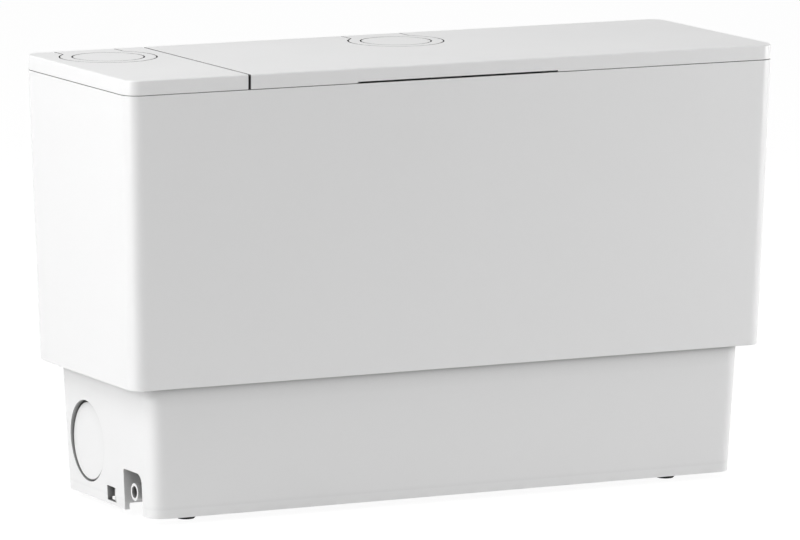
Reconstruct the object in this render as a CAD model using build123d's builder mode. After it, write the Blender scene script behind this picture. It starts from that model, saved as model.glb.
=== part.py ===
from build123d import *
import os
from math import cos, radians, sin

# Compact sewage lifting unit with a macerator, made to stand beside a toilet.
# Millimetres. Origin on the floor under the middle of the unit, +X to the right,
# +Z up, and the front faces -Y. The left end, -X, has the side inlet and the drain.

os.makedirs("parts", exist_ok=True)

# Overall size
length = 500.0
depth = 176.0
height = 310.0
corner_radius = 11.0

# Rubber feet
foot_height = 5.0
foot_radius = 7.0
foot_stem_radius = 3.0
foot_stem_height = 5.0
foot_edge = 0.4
foot_inset_left = 60.0
foot_inset_right = 66.0
foot_inset_y = 38.0
foot_boss_wall = 2.5
foot_xs = (-length / 2 + foot_inset_left, length / 2 - foot_inset_right)
foot_ys = (-depth / 2 + foot_inset_y, depth / 2 - foot_inset_y)

# Clearances
seat_gap = 0.3
running_gap = 0.05
slip_gap = 0.1
plug_gap = 0.4
shaft_seat_gap = 0.02
shaft_passage_gap = 0.5

# Screws, whose heads are sized as shares of the head's radius
screw_shank_radius = 2.0
screw_hole_radius = 2.2
screw_head_radius = 4.0
screw_head_height = 2.6
screw_point = 2.0
screw_dome_share = 0.7
screw_cross_share = 1.1
screw_slot_share = 0.24
cover_screw_length = 19.0
casing_screw_length = 21.0

# Upper casing
casing_bottom = 95.9
casing_wall = 3.0
casing_slope = 0.0286
lip_round = 0.9
casing_top_round = 0.4
tab_thickness = 3.5
tab_width = 18.0
tab_reach = 23.0
tab_bed = 1.5
gusset_thickness = 2.0
gusset_length = 7.5
gusset_height = 16.0
bridge_width = 14.0
bridge_height = 10.0
bridge_wall = 2.0

# Lids
lid_height = 10.5
lid_plate = 4.0
lid_wall = 3.0
lid_edge_round = 1.4
lid_split_x = -length / 2 + 91.0
lid_split_gap = 1.0
finger_gap_height = 1.0
finger_gap_half = 77.0
end_tab_inset = 35.0
small_lid_tab_xs = (-length / 2 + end_tab_inset,)
main_lid_tab_xs = (-120.0, 110.0, length / 2 - end_tab_inset)
rib_thickness = 2.0
lid_rib_height = 3.0
lid_tab_width = 22.0
lid_tab_depth = 9.0
lid_tab_thickness = 2.0
lid_tab_gap = 0.4
lid_rib_keepout = 3.0
lid_cross_rib_ys = (-56.0, -28.0, 0.0, 28.0, 56.0)
lid_rib_pitch = 44.0
lid_foot_round = 0.4

# Knock-outs scored in the lids
knockout_radius = 25.0
keyhole_radius = 33.8
keyhole_neck_half = 22.8
keyhole_fillet = 4.0
groove_width = 1.1
groove_depth = 3.2
skirt_groove_depth = 2.0

# Tank
base_inset_x = 14.35
base_inset_y = 4.9
base_slope = 0.044
tank_wall = 3.5
tank_floor = 3.5
skirt_height = 4.5
floor_rib_thickness = 2.6
floor_rib_setback = 1.0
window_rib_y = -8.2
floor_rib_pitch = 32.0
floor_rib_x_pitch = 50.0
service_height = 60.0
rim_flange = 4.0
rim_reach_x = 6.2
rim_reach_y = 4.7
rim_corner = 14.0
screw_boss_radius = 4.3
screw_boss_height = 18.0
screw_hole_floor = 2.0
gasket_thickness = 2.0

# Side inlet in the left end
side_inlet_y = 31.8
side_socket_radius = 25.0
side_counterbore_step = 3.6
side_counterbore_depth = 4.2
side_boss_wall = 6.5
side_boss_bed = 0.5
side_boss_length = 30.0
plug_disc_gap = 1.3
plug_disc_thickness = 3.4
plug_sink = 0.5
plug_edge = 0.5
plug_lead_in = 1.0
plug_cup_length = 17.0
plug_cup_wall = 2.5
plug_web = 2.4
plug_web_bed = 0.5
plug_web_setback = 6.0
oring_thickness = 3.0
oring_depth = 1.8
oring_setback = 5.0
oring_round = 0.9
flap_thickness = 2.5
flap_overlap = 2.2
flap_pin_radius = 1.5
flap_knuckle_radius = 3.1
flap_pin_length = 30.0
flap_pin_setback = 3.4
flap_pin_overhang = 1.5
flap_ear_thickness = 3.0
flap_ear_height = 11.0
flap_side_gap = 1.0
flap_arm_overlap = 6.0

# Drain spout in its notch
notch_y = (-58.0, -28.0)
notch_top = 34.0
notch_depth = 26.0
notch_front_round = 7.0
notch_back_round = 2.0
notch_wall = 3.0
spout_y = -43.0
spout_z = 19.7
spout_radius = 6.0
spout_bore_radius = 4.2
spout_recess = 1.0

# Window beside the notch
window_y = (-13.5, 1.0)
window_z = (7.5, 17.8)
window_depth = 15.0
window_rib_setback = 2.0

# Toilet inlet in the right end
wc_pipe_radius = 55.0
wc_pipe_cover = 15.0
wc_pipe_gap = 0.3
wc_sleeve_wall = 3.4
wc_sleeve_collar = 4.3
wc_sleeve_stop = 2.8
wc_sleeve_out = 0.4
wc_sleeve_chamfer = 1.0
wc_collar_inner = 4.0
wc_collar_outer = 3.0
wc_casing_gap = 1.3

# Tank cover and its screws
cover_plate = 4.0
cover_screw_inset = 55.0
cover_screw_reach = length / 2 - cover_screw_inset
cover_screw_xs = (-cover_screw_reach, -cover_screw_reach / 3, cover_screw_reach / 3, cover_screw_reach)
cover_screw_out = 1.0
end_screw_out = 1.6
left_screw_ys = (-50.0, 10.0)
right_screw_ys = (-50.0, 50.0)
cover_rib_height = 3.0
cover_rib_thickness = 2.5
cover_rib_y = 22.0
cover_rib_setback = 12.0

# Pump
suction_gap = 9.0
volute_base = 4.0
volute_height = 30.0
volute_wall = 3.0
volute_side_gap = 3.0
volute_growth = 20.0
volute_start_angle = 130.0
volute_sweep = 320.0
volute_steps = 20
suction_eye_radius = 14.0
eye_lip = 3.0
eye_lip_depth = 3.0
volute_cover_thickness = 4.0
nozzle_reach = 17.0
nozzle_grip = 20.0
nozzle_cover_gap = 0.6
impeller_radius = 31.0
impeller_hub_radius = 10.0
impeller_shroud = 3.0
impeller_gap = 1.0
vane_thickness = 2.4
vane_count = 6
vane_middle = (21.0, 6.0)
vane_tip = (impeller_radius - 0.5, 17.0)
impeller_nose_lift = 2.0
impeller_nose_height = 8.0
pump_leg_radius = 6.0
pump_leg_circle = 26.0
pump_leg_angles = (20, 140, 260)

# Macerator
basket_radius = 56.0
basket_end_gap = 6.6
basket_height = 60.0
basket_wall = 2.5
basket_floor = 3.0
basket_slot_width = 5.0
basket_slot_pitch = 9.5
basket_slot_foot = 5.0
basket_slot_head = 9.0
round_slots = 18
floor_slot_count = 16
floor_slot_circle = 34.0
floor_slot_length = 22.0
floor_slot_width = 4.5
floor_slot_columns = 5
basket_spigot_radius = 16.0
basket_spigot_height = 2.0
blade_radius = 49.0
blade_tip_length = 8.0
blade_thickness = 2.5
blade_width = 15.0
blade_lift = 5.0
blade_hub_radius = 12.0
blade_hub_height = 12.0

# Motor
shaft_radius = 6.0
shaft_nut_drop = 3.0
motor_well_gap = 2.0
well_wall = 3.0
well_edge = 6.0
well_floor = 4.0
well_gap = 20.0
well_motor_gap = 1.0
motor_radius = 47.0
motor_wall = 2.0
motor_flange_overlap = 5.0
motor_flange = 4.0
motor_screw_angles = (0, 90, 180, 270)
motor_cap_height = 26.0
can_edge = 3.0
cap_edge = 5.0
cap_thickness = 3.0
fin_count = 16
fin_length = 20.0
fin_thickness = 2.0
fin_height = 2.0
fin_bed = 0.5
fin_inset = 16.0
fin_hub_radius = 14.0
stator_bore_radius = 25.5
air_gap = 0.5
end_ring_height = 4.0
winding_overhang = 16.0
winding_clearance = 3.0
winding_room = 2.0
winding_bulge = 0.5
winding_round = 3.0
stator_slot_count = 12
stator_slot_length = 8.0
stator_slot_width = 5.0
stator_slot_inset = 2.75
bearing_radius = 13.0
bearing_width = 10.0
bearing_ring = 2.4
bearing_groove = 0.6
bearing_pocket_wall = 3.0
upper_bearing_setback = 8.0
housing_hole_gap = 3.0
seal_radius = 14.0
seal_height = 13.0
seal_base = 4.0
seal_wall = 3.0
seal_lip_height = 5.0

# Discharge
outlet_y = 44.5
pipe_radius = 16.0
pipe_wall = 2.5
pipe_bend_radius = 30.0
pipe_over_flap = 16.0
pipe_low_run = 84.0
pipe_end_gap = 2.0
spigot_wall = 3.0
valve_wall = 2.5
valve_tank_gap = 0.8356
valve_depth = 32.0
valve_seat_thickness = 5.0
valve_seat_width = 2.0
valve_seat_lift = 1.0
valve_edge = 2.0
valve_flange_width = 7.0
valve_flange = 4.0
valve_spigot_length = 18.0
valve_disc_overlap = 2.3
valve_disc_thickness = 3.0
valve_disc_edge = 1.0
valve_disc_room = 5.2
valve_boss_radius = 4.0
valve_boss_height = 1.2
valve_arm_overlap = 6.0
valve_ear_inner = 4.4
valve_ear_outer = 6.4
valve_ear_bed = 0.5
valve_side_gap = 0.2
valve_knuckle_wall = 1.0
valve_pin_radius = 1.2
valve_pin_reach = 2.1
valve_pin_lift = 4.6
valve_screw_angles = (30, 150, 270)
valve_screw_size = 0.5
valve_screw_length = 7.5
valve_screw_room = 2.3
outlet_radius = 16.0
outlet_bore_radius = 12.5
outlet_edge = 1.0
outlet_shoulder = 5.0
outlet_shoulder_wall = 2.7
outlet_below_lid = 1.8

# Worm-drive bands on the hoses and the rubber port
clamp_width = 9.0
clamp_thickness = 1.2
clamp_setback = 4.0
clamp_lip = 0.5
clamp_bed = 0.6
clamp_housing_half = 6.0
clamp_housing_out = 4.5
clamp_screw_radius = 2.6
clamp_screw_offset = 2.2
clamp_head_reach = 9.0

# Top inlet
top_inlet_x = 17.0
top_inlet_pipe_radius = 20.0
top_inlet_wall = 3.3
top_inlet_flange_width = 6.7
top_inlet_flange = 3.5
top_inlet_drop = 26.0
top_inlet_grip = 30.0
port_stop_width = 2.0
port_chamfer = 1.0
port_nesting = 9.0

# Level sensing, vent and electrics
bell_x = -20.0
bell_y = -45.0
bell_radius = 18.0
bell_wall = 2.5
bell_clearance = 12.0
bell_flange_width = 6.0
bell_cap = 3.0
nipple_radius = 2.5
nipple_wall = 1.0
nipple_height = 6.0
hose_radius = 4.0
hose_height = 16.0
hose_bend_radius = 6.0
hose_grip = 6.0
switch_x = 28.0
switch_radius = 19.0
switch_height = 20.0
switch_dome = 8.0
switch_foot_radius = 12.0
switch_foot_height = 6.0
switch_turret_radius = 8.0
switch_nipple_length = 8.0
terminal_pitch = 5.0
terminal_width = 6.0
terminal_thickness = 0.8
terminal_height = 7.0
filter_x = -60.0
filter_radius = 20.0
filter_height = 36.0
filter_lip = 1.5
filter_lip_height = 5.0
filter_neck_radius = 9.0
filter_neck_drop = 6.0
vent_slot_count = 6
vent_slot_pitch = 4.5
vent_slot_length = 16.0
vent_slot_width = 2.2
vent_slot_depth = 4.0
box_x = (-148.0, -48.0)
box_y = (-72.0, 4.0)
box_height = 32.0
box_wall = 2.5
box_corner = 5.0
box_lid = 3.0
box_lid_edge = 0.8
box_post_radius = 5.0
box_post_inset = 7.0
box_screw_size = 0.75
box_screw_length = 13.0
board_lift = 6.0
board_thickness = 1.6
board_end_gap = 10.0
board_side_gap = 2.0
board_spacer_radius = 3.0
board_spacer_reach = (32.0, 26.0)
board_parts = (
    ((-30.0, -4.0), (-12.0, 12.0), 18.0),
    ((8.0, 26.0), (-14.0, 2.0), 15.0),
    ((2.0, 34.0), (14.0, 24.0), 10.0),
)
gland_x = -125.0
gland_lift = 18.0
gland_radius = 8.0
gland_hex_radius = 9.5
gland_hex_length = 4.0
gland_nut_length = 10.0
gland_neck_step = 2.0
gland_thread = 3.0
gland_edge = 2.0
gland_bore_radius = 3.8
capacitor_y = -45.0
capacitor_radius = 17.0
capacitor_lift = 3.0
capacitor_tab_gap = 6.3
capacitor_edge = 1.5
capacitor_cap = 4.0
capacitor_cap_radius = 9.0
capacitor_tag_offset = 4.0
capacitor_tag_length = 8.0
saddle_inset = 12.0
saddle_width = 8.0
saddle_wall = 3.0
saddle_rise = 4.0
saddle_base = 2.0
lead_radius = 3.0
lead_y = -12.0
lead_lift = 11.0
lead_boss_reach = 5.0
lead_straight = 14.0
lead_drop_run = 20.0
lead_bend_radius = 12.0

# Radii that follow from what fits together
side_counterbore_radius = side_socket_radius + side_counterbore_step
side_boss_radius = side_socket_radius + side_boss_wall
plug_disc_radius = side_counterbore_radius - plug_disc_gap
well_radius = motor_radius + motor_well_gap
well_outer = well_radius + well_wall
motor_flange_radius = well_outer + motor_flange_overlap
motor_screw_circle = (motor_radius + 1 + motor_flange_radius) / 2
volute_small_radius = impeller_radius + volute_side_gap
pipe_bore_radius = pipe_radius - pipe_wall
spigot_bore_radius = pipe_bore_radius - spigot_wall
valve_disc_radius = spigot_bore_radius + valve_disc_overlap
valve_bore_radius = valve_disc_radius + valve_disc_room
valve_radius = valve_bore_radius + valve_wall
valve_flange_radius = valve_bore_radius + valve_flange_width
valve_pin_offset = valve_disc_radius + valve_pin_reach
top_inlet_flange_radius = top_inlet_pipe_radius + top_inlet_wall + top_inlet_flange_width
bell_flange_radius = bell_radius + bell_flange_width
motor_x = top_inlet_x + top_inlet_flange_radius + motor_flange_radius - port_nesting

# Heights that follow from the sizes above
lid_bottom = height - lid_height
casing_top = lid_bottom - seat_gap
lid_underside = height - lid_plate
floor_underside = foot_height + skirt_height
floor_top = floor_underside + tank_floor
rim_z = height - service_height
cover_bottom = rim_z + gasket_thickness
cover_top = cover_bottom + cover_plate
side_inlet_z = floor_top + side_boss_radius - side_boss_bed
wc_z = rim_z - wc_pipe_cover - wc_pipe_radius
volute_bottom = floor_top + suction_gap
volute_top = volute_bottom + volute_height
volute_cover_top = volute_top + volute_cover_thickness
basket_bottom = volute_cover_top
basket_top = basket_bottom + basket_height
well_floor_top = basket_top + well_gap
well_underside = well_floor_top - well_floor
motor_bottom = well_floor_top + well_motor_gap
motor_top = cover_top + motor_flange + motor_cap_height


def half_x(z):
    """Half length of the casing's outside at a height."""
    return length / 2 - casing_slope * (casing_top - z)


def half_y(z):
    """Half depth of the casing's outside at a height."""
    return depth / 2 - casing_slope * (casing_top - z)


base_half_x = half_x(casing_bottom) - base_inset_x
base_half_y = half_y(casing_bottom) - base_inset_y
rim_half_x = base_half_x + rim_reach_x
rim_half_y = base_half_y + rim_reach_y
cover_screw_y = base_half_y + cover_screw_out
end_screw_x = base_half_x + end_screw_out
casing_inner_x = half_x(cover_top) - casing_wall
outlet_x = -(base_half_x - tank_wall - valve_tank_gap - valve_radius)
capacitor_x = (
    motor_x + motor_flange_radius,
    casing_inner_x + tab_bed - tab_reach - capacitor_tab_gap,
)
cover_screw_places = [(x, side * cover_screw_y) for x in cover_screw_xs for side in (-1, 1)]
end_screw_places = [(-end_screw_x, y) for y in left_screw_ys] + [(end_screw_x, y) for y in right_screw_ys]


def tank_x(z):
    """Half length of the tank's outside at a height: drafted below the casing, upright inside it."""
    return base_half_x - base_slope * max(casing_bottom - z, 0)


def tank_y(z):
    """Half depth of the tank's outside at a height."""
    return base_half_y - base_slope * max(casing_bottom - z, 0)


def drafted_block(low, high, corner, mode=Mode.ADD):
    """Upright block with round corners. low and high are (height, half length, half depth)."""
    sections = []
    for z, x, y in (low, high):
        with BuildSketch(Plane.XY.offset(z)) as outline:
            RectangleRounded(2 * x, 2 * y, corner)
        sections.append(outline.sketch)
    loft(sections, ruled=True, mode=mode)


def slab(x_span, y_span, z_span, mode=Mode.ADD):
    """Straight block between two values on each axis."""
    with Locations((sum(x_span) / 2, sum(y_span) / 2, sum(z_span) / 2)):
        Box(x_span[1] - x_span[0], y_span[1] - y_span[0], z_span[1] - z_span[0], mode=mode)


def bar(start, end, radius, mode=Mode.ADD):
    """Round bar, or round hole, from one point to another."""
    run = Vector(*end) - Vector(*start)
    with BuildSketch(Plane(origin=start, z_dir=run)) as circle:
        Circle(radius)
    extrude(circle.sketch, amount=run.length, mode=mode)


def drill(places, low_z, high_z, radius, mode=Mode.SUBTRACT):
    """Upright round holes, or bosses, at a list of places."""
    with BuildSketch(Plane.XY.offset(low_z)) as circles:
        with Locations(*places):
            Circle(radius)
    extrude(circles.sketch, amount=high_z - low_z, mode=mode)


def turned(centre, profile, mode=Mode.ADD):
    """Turned shape about the upright line through centre. profile lists (radius, height) corners."""
    plane = Plane(origin=(centre[0], centre[1], 0), x_dir=(1, 0, 0), z_dir=(0, -1, 0))
    with BuildSketch(plane) as half:
        with BuildLine():
            Polyline(*profile, close=True)
        make_face()
    revolve(half.sketch, axis=Axis((centre[0], centre[1], 0), (0, 0, 1)), mode=mode)


def ring_places(centre, radius, angles):
    """Places on a circle about a centre, in the plan, at a list of angles in degrees."""
    return [
        (centre[0] + radius * cos(radians(angle)), centre[1] + radius * sin(radians(angle)))
        for angle in angles
    ]


def pan_head_screw(place, seat, shank_length, size=1.0):
    """Cross-head screw whose head sits on the height seat, pointing down."""
    shank = screw_shank_radius * size
    head = screw_head_radius * size
    top = seat + screw_head_height * size
    end = seat - shank_length
    turned(
        place,
        [
            (0, end),
            (shank / 2, end),
            (shank, end + screw_point),
            (shank, seat),
            (head, seat),
            (head, (seat + top) / 2),
            (head * screw_dome_share, top),
            (0, top),
        ],
    )
    with BuildSketch(Plane.XY.offset(top - head * screw_slot_share)) as cross:
        with Locations(place):
            Rectangle(head * screw_cross_share, head * screw_slot_share)
            Rectangle(head * screw_slot_share, head * screw_cross_share)
    extrude(cross.sketch, amount=head * screw_slot_share, mode=Mode.SUBTRACT)


# Tank: one tub, drafted where it shows and upright inside the casing
with BuildPart() as tank:
    drafted_block(
        (foot_height, tank_x(foot_height), tank_y(foot_height)),
        (casing_bottom, base_half_x, base_half_y),
        corner_radius,
    )
    drafted_block((casing_bottom, base_half_x, base_half_y), (rim_z, base_half_x, base_half_y), corner_radius)
    drafted_block((rim_z - rim_flange, rim_half_x, rim_half_y), (rim_z, rim_half_x, rim_half_y), rim_corner)
    boss_bottom = rim_z - screw_boss_height
    rim_screw_places = cover_screw_places + end_screw_places
    drill(rim_screw_places, boss_bottom, rim_z - rim_flange, screw_boss_radius, Mode.ADD)
    drafted_block(
        (floor_top, tank_x(floor_top) - tank_wall, tank_y(floor_top) - tank_wall),
        (casing_bottom, base_half_x - tank_wall, base_half_y - tank_wall),
        corner_radius - tank_wall,
        Mode.SUBTRACT,
    )
    drafted_block(
        (casing_bottom, base_half_x - tank_wall, base_half_y - tank_wall),
        (rim_z, base_half_x - tank_wall, base_half_y - tank_wall),
        corner_radius - tank_wall,
        Mode.SUBTRACT,
    )
    # screw pilot holes
    drill(rim_screw_places, boss_bottom + screw_hole_floor, rim_z, screw_hole_radius - slip_gap)
    # ribbed hollow under the floor
    hollow_x = tank_x(foot_height) - tank_wall
    hollow_y = tank_y(foot_height) - tank_wall
    with BuildSketch(Plane.XY.offset(foot_height)) as rib_edge:
        RectangleRounded(2 * hollow_x, 2 * hollow_y, corner_radius - tank_wall)
    extrude(rib_edge.sketch, amount=floor_rib_setback, mode=Mode.SUBTRACT)
    with BuildSketch(Plane.XY.offset(foot_height + floor_rib_setback)) as rib_cells:
        RectangleRounded(2 * hollow_x, 2 * hollow_y, corner_radius - tank_wall)
        for count in (-1, 0, 1, 2):
            with Locations((0, window_rib_y + count * floor_rib_pitch)):
                Rectangle(2 * hollow_x + 2, floor_rib_thickness, mode=Mode.SUBTRACT)
        for count in range(-4, 5):
            with Locations((count * floor_rib_x_pitch, 0)):
                Rectangle(floor_rib_thickness, 2 * hollow_y + 2, mode=Mode.SUBTRACT)
    extrude(rib_cells.sketch, amount=skirt_height - floor_rib_setback, mode=Mode.SUBTRACT)
    # foot bosses
    foot_places = [(x, y) for x in foot_xs for y in foot_ys]
    drill(foot_places, foot_height, floor_top, foot_radius + foot_boss_wall, Mode.ADD)
    drill(foot_places, foot_height, foot_height + foot_stem_height + seat_gap, foot_stem_radius)
    # walls of the drain notch and of the window, inside the tub
    end_x = tank_x(floor_underside)
    slab(
        (-end_x + 1, -end_x + notch_depth + notch_wall),
        (notch_y[0] - notch_wall, notch_y[1] + notch_wall),
        (floor_underside, notch_top + notch_wall),
    )
    slab(
        (-end_x + 1, -end_x + window_depth + notch_wall),
        (window_y[0] - notch_wall, window_y[1] + notch_wall),
        (floor_underside, window_z[1] + notch_wall),
    )
    with BuildSketch(Plane(origin=(-end_x - 6, 0, 0), x_dir=(0, 1, 0), z_dir=(1, 0, 0))) as notch:
        with Locations(((notch_y[0] + notch_y[1]) / 2, notch_top / 2)):
            Rectangle(notch_y[1] - notch_y[0], notch_top)
        fillet(notch.vertices().group_by(Axis.Y)[-1].sort_by(Axis.X)[0], notch_front_round)
        fillet(notch.vertices().group_by(Axis.Y)[-1].sort_by(Axis.X)[-1], notch_back_round)
    extrude(notch.sketch, amount=notch_depth + 6, mode=Mode.SUBTRACT)
    slab((-end_x - 6, -end_x + window_depth), window_y, window_z, Mode.SUBTRACT)
    slab((-hollow_x, -end_x + window_depth), window_y, (foot_height, window_z[1]), Mode.SUBTRACT)
    slab(
        (-end_x + window_rib_setback, -end_x + window_depth + 1),
        (window_rib_y - floor_rib_thickness / 2, window_rib_y + floor_rib_thickness / 2),
        (foot_height + floor_rib_setback, window_z[1] + 1),
    )
    # drain spout
    spout_face_x = -tank_x(spout_z) + spout_recess
    notch_back_x = -end_x + notch_depth
    bar((notch_back_x + 1, spout_y, spout_z), (spout_face_x, spout_y, spout_z), spout_radius)
    bar(
        (notch_back_x + notch_wall + 1, spout_y, spout_z),
        (spout_face_x - 1, spout_y, spout_z),
        spout_bore_radius,
        Mode.SUBTRACT,
    )
    # side inlet socket
    socket_face_x = -tank_x(side_inlet_z - side_counterbore_radius)
    socket_inner_x = socket_face_x + side_boss_length
    bar(
        (socket_face_x + 1, side_inlet_y, side_inlet_z),
        (socket_inner_x, side_inlet_y, side_inlet_z),
        side_boss_radius,
    )
    bar(
        (socket_face_x - 6, side_inlet_y, side_inlet_z),
        (socket_face_x + side_counterbore_depth, side_inlet_y, side_inlet_z),
        side_counterbore_radius,
        Mode.SUBTRACT,
    )
    bar(
        (socket_face_x - 6, side_inlet_y, side_inlet_z),
        (socket_inner_x + 1, side_inlet_y, side_inlet_z),
        side_socket_radius,
        Mode.SUBTRACT,
    )
    # ears that carry the side inlet's flap
    flap_pin_x = socket_inner_x - flap_pin_setback
    flap_pin_z = side_inlet_z + side_boss_radius + flap_knuckle_radius + seat_gap
    ear_outer = flap_pin_length / 2 - flap_pin_overhang
    ear_inner = ear_outer - flap_ear_thickness
    for side in (-1, 1):
        slab(
            (flap_pin_x - flap_knuckle_radius - 1, flap_pin_x + flap_knuckle_radius),
            sorted((side_inlet_y + side * ear_inner, side_inlet_y + side * ear_outer)),
            (flap_pin_z - flap_ear_height, flap_pin_z + flap_knuckle_radius),
        )
    bar(
        (flap_pin_x, side_inlet_y - flap_pin_length, flap_pin_z),
        (flap_pin_x, side_inlet_y + flap_pin_length, flap_pin_z),
        flap_pin_radius,
        Mode.SUBTRACT,
    )
    # hole for the toilet inlet sleeve
    wc_hole_radius = wc_pipe_radius + wc_pipe_gap + wc_sleeve_wall
    collar_radius = wc_hole_radius + wc_sleeve_collar
    bar((base_half_x - 12, 0, wc_z), (base_half_x + 5, 0, wc_z), wc_hole_radius, Mode.SUBTRACT)
tank.part.label = "tank"
export_step(tank.part, "parts/tank.step")

# Gasket on the tank's rim
with BuildPart() as tank_gasket:
    with BuildSketch(Plane.XY.offset(rim_z)) as gasket_outline:
        RectangleRounded(2 * rim_half_x - 1, 2 * rim_half_y - 1, rim_corner)
        RectangleRounded(2 * (base_half_x - tank_wall), 2 * (base_half_y - tank_wall),
                         corner_radius - tank_wall, mode=Mode.SUBTRACT)
        with Locations(*rim_screw_places):
            Circle(screw_hole_radius, mode=Mode.SUBTRACT)
    extrude(gasket_outline.sketch, amount=gasket_thickness)
tank_gasket.part.label = "tank_gasket"
export_step(tank_gasket.part, "parts/tank_gasket.step")

# Tank cover with the dry well that holds the motor
with BuildPart() as tank_cover:
    with BuildSketch(Plane.XY.offset(cover_bottom)) as cover_outline:
        RectangleRounded(2 * rim_half_x, 2 * rim_half_y, rim_corner)
    extrude(cover_outline.sketch, amount=cover_plate)
    turned(
        (motor_x, 0),
        [
            (0, well_underside),
            (well_outer - well_edge, well_underside),
            (well_outer, well_underside + well_edge),
            (well_outer, cover_top),
            (0, cover_top),
        ],
    )
    seal_boss_low = well_underside - seal_height + 1
    turned(
        (motor_x, 0),
        [
            (0, seal_boss_low),
            (seal_radius + well_floor, seal_boss_low),
            (seal_radius + 2 * well_floor, well_underside),
            (0, well_underside),
        ],
    )
    # stiffening ribs below the plate
    for side in (-1, 1):
        rib_y = side * cover_rib_y
        slab(
            (-base_half_x + cover_rib_setback, motor_x - well_outer + 2),
            (rib_y - cover_rib_thickness / 2, rib_y + cover_rib_thickness / 2),
            (cover_bottom - cover_rib_height, cover_bottom),
        )
    # the well's hollow
    turned(
        (motor_x, 0),
        [
            (0, well_floor_top),
            (well_radius - well_edge + 1, well_floor_top),
            (well_radius, well_floor_top + well_edge - 1),
            (well_radius, cover_top + 1),
            (0, cover_top + 1),
        ],
        Mode.SUBTRACT,
    )
    drill([(motor_x, 0)], well_underside - seal_height, well_floor_top + 1, seal_radius)
    # ports
    port_low = cover_bottom - 5
    port_high = cover_top + 1
    drill([(outlet_x, outlet_y)], port_low, port_high, valve_radius + seat_gap)
    drill([(top_inlet_x, outlet_y)], port_low, port_high, top_inlet_pipe_radius + top_inlet_wall + slip_gap)
    drill([(bell_x, bell_y)], port_low, port_high, bell_radius + slip_gap)
    drill([(filter_x, outlet_y)], port_low, port_high, filter_neck_radius + slip_gap)
    drill(rim_screw_places, cover_bottom - 1, port_high, screw_hole_radius)
tank_cover.part.label = "tank_cover"
export_step(tank_cover.part, "parts/tank_cover.step")

# Screws round the tank's rim
with BuildPart() as cover_screws:
    for place in cover_screw_places:
        pan_head_screw(place, cover_top, cover_screw_length)
cover_screws.part.label = "cover_screws"
export_step(cover_screws.part, "parts/cover_screws.step")

# Upper casing: a drafted sleeve that hides the tank's upper part and carries the lids
with BuildPart() as upper_casing:
    drafted_block(
        (casing_bottom, half_x(casing_bottom), half_y(casing_bottom)),
        (casing_top, half_x(casing_top), half_y(casing_top)),
        corner_radius,
    )
    fillet(upper_casing.edges().group_by(Axis.Z)[0], lip_round)
    fillet(upper_casing.edges().group_by(Axis.Z)[-1], casing_top_round)
    drafted_block(
        (casing_bottom, half_x(casing_bottom) - casing_wall, half_y(casing_bottom) - casing_wall),
        (casing_top, half_x(casing_top) - casing_wall, half_y(casing_top) - casing_wall),
        corner_radius - casing_wall,
        Mode.SUBTRACT,
    )
    # bridge under the gap between the lids
    bridge_bottom = casing_top - bridge_height
    bridge_half = bridge_width / 2
    bridge_end = half_y(bridge_bottom) - 1
    slab(
        (lid_split_x - bridge_half, lid_split_x + bridge_half),
        (-bridge_end, bridge_end),
        (bridge_bottom, casing_top),
    )
    slab(
        (lid_split_x - bridge_half + bridge_wall, lid_split_x + bridge_half - bridge_wall),
        (-half_y(casing_top) + casing_wall, half_y(casing_top) - casing_wall),
        (bridge_bottom - 1, casing_top - bridge_wall),
        Mode.SUBTRACT,
    )
    # tabs that rest on the tank cover and are screwed down with it
    tab_root = casing_inner_x + tab_bed
    tab_top = cover_top + tab_thickness
    for place_x, screw_y in end_screw_places:
        side = 1 if place_x > 0 else -1
        slab(
            sorted((side * tab_root, side * (tab_root - tab_reach))),
            (screw_y - tab_width / 2, screw_y + tab_width / 2),
            (cover_top, tab_top),
        )
        for gusset_y in (screw_y - tab_width / 2 + gusset_thickness, screw_y + tab_width / 2):
            gusset_plane = Plane(origin=(0, gusset_y, 0), x_dir=(1, 0, 0), z_dir=(0, -1, 0))
            with BuildSketch(gusset_plane) as gusset:
                with BuildLine():
                    Polyline(
                        (side * tab_root, tab_top),
                        (side * (tab_root - gusset_length), tab_top),
                        (side * tab_root, tab_top + gusset_height),
                        close=True,
                    )
                make_face()
            extrude(gusset.sketch, amount=gusset_thickness)
    drill(end_screw_places, cover_top - 1, tab_top + 1, screw_hole_radius)
    # opening for the toilet inlet
    bar(
        (half_x(wc_z) - 12, 0, wc_z),
        (half_x(wc_z) + 8, 0, wc_z),
        wc_hole_radius + wc_casing_gap,
        Mode.SUBTRACT,
    )
upper_casing.part.label = "upper_casing"
export_step(upper_casing.part, "parts/upper_casing.step")

# Screws through the casing's tabs
with BuildPart() as casing_screws:
    for place in end_screw_places:
        pan_head_screw(place, tab_top, casing_screw_length)
casing_screws.part.label = "casing_screws"
export_step(casing_screws.part, "parts/casing_screws.step")


def keyhole(centre_x, grow):
    """Outline of a lid's scored keyhole, grown or shrunk to one side of the score line."""
    neck_end = depth / 2 + 1
    with BuildSketch(Plane.XY.offset(height - groove_depth)) as shape:
        with Locations((centre_x, outlet_y)):
            Circle(keyhole_radius + grow)
        with Locations((centre_x, (outlet_y + neck_end) / 2)):
            Rectangle(2 * (keyhole_neck_half + grow), neck_end - outlet_y)
        waist = shape.vertices().filter_by_position(Axis.Y, outlet_y + 1, neck_end - 1)
        fillet(waist, keyhole_fillet - grow)
    return shape.sketch


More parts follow.
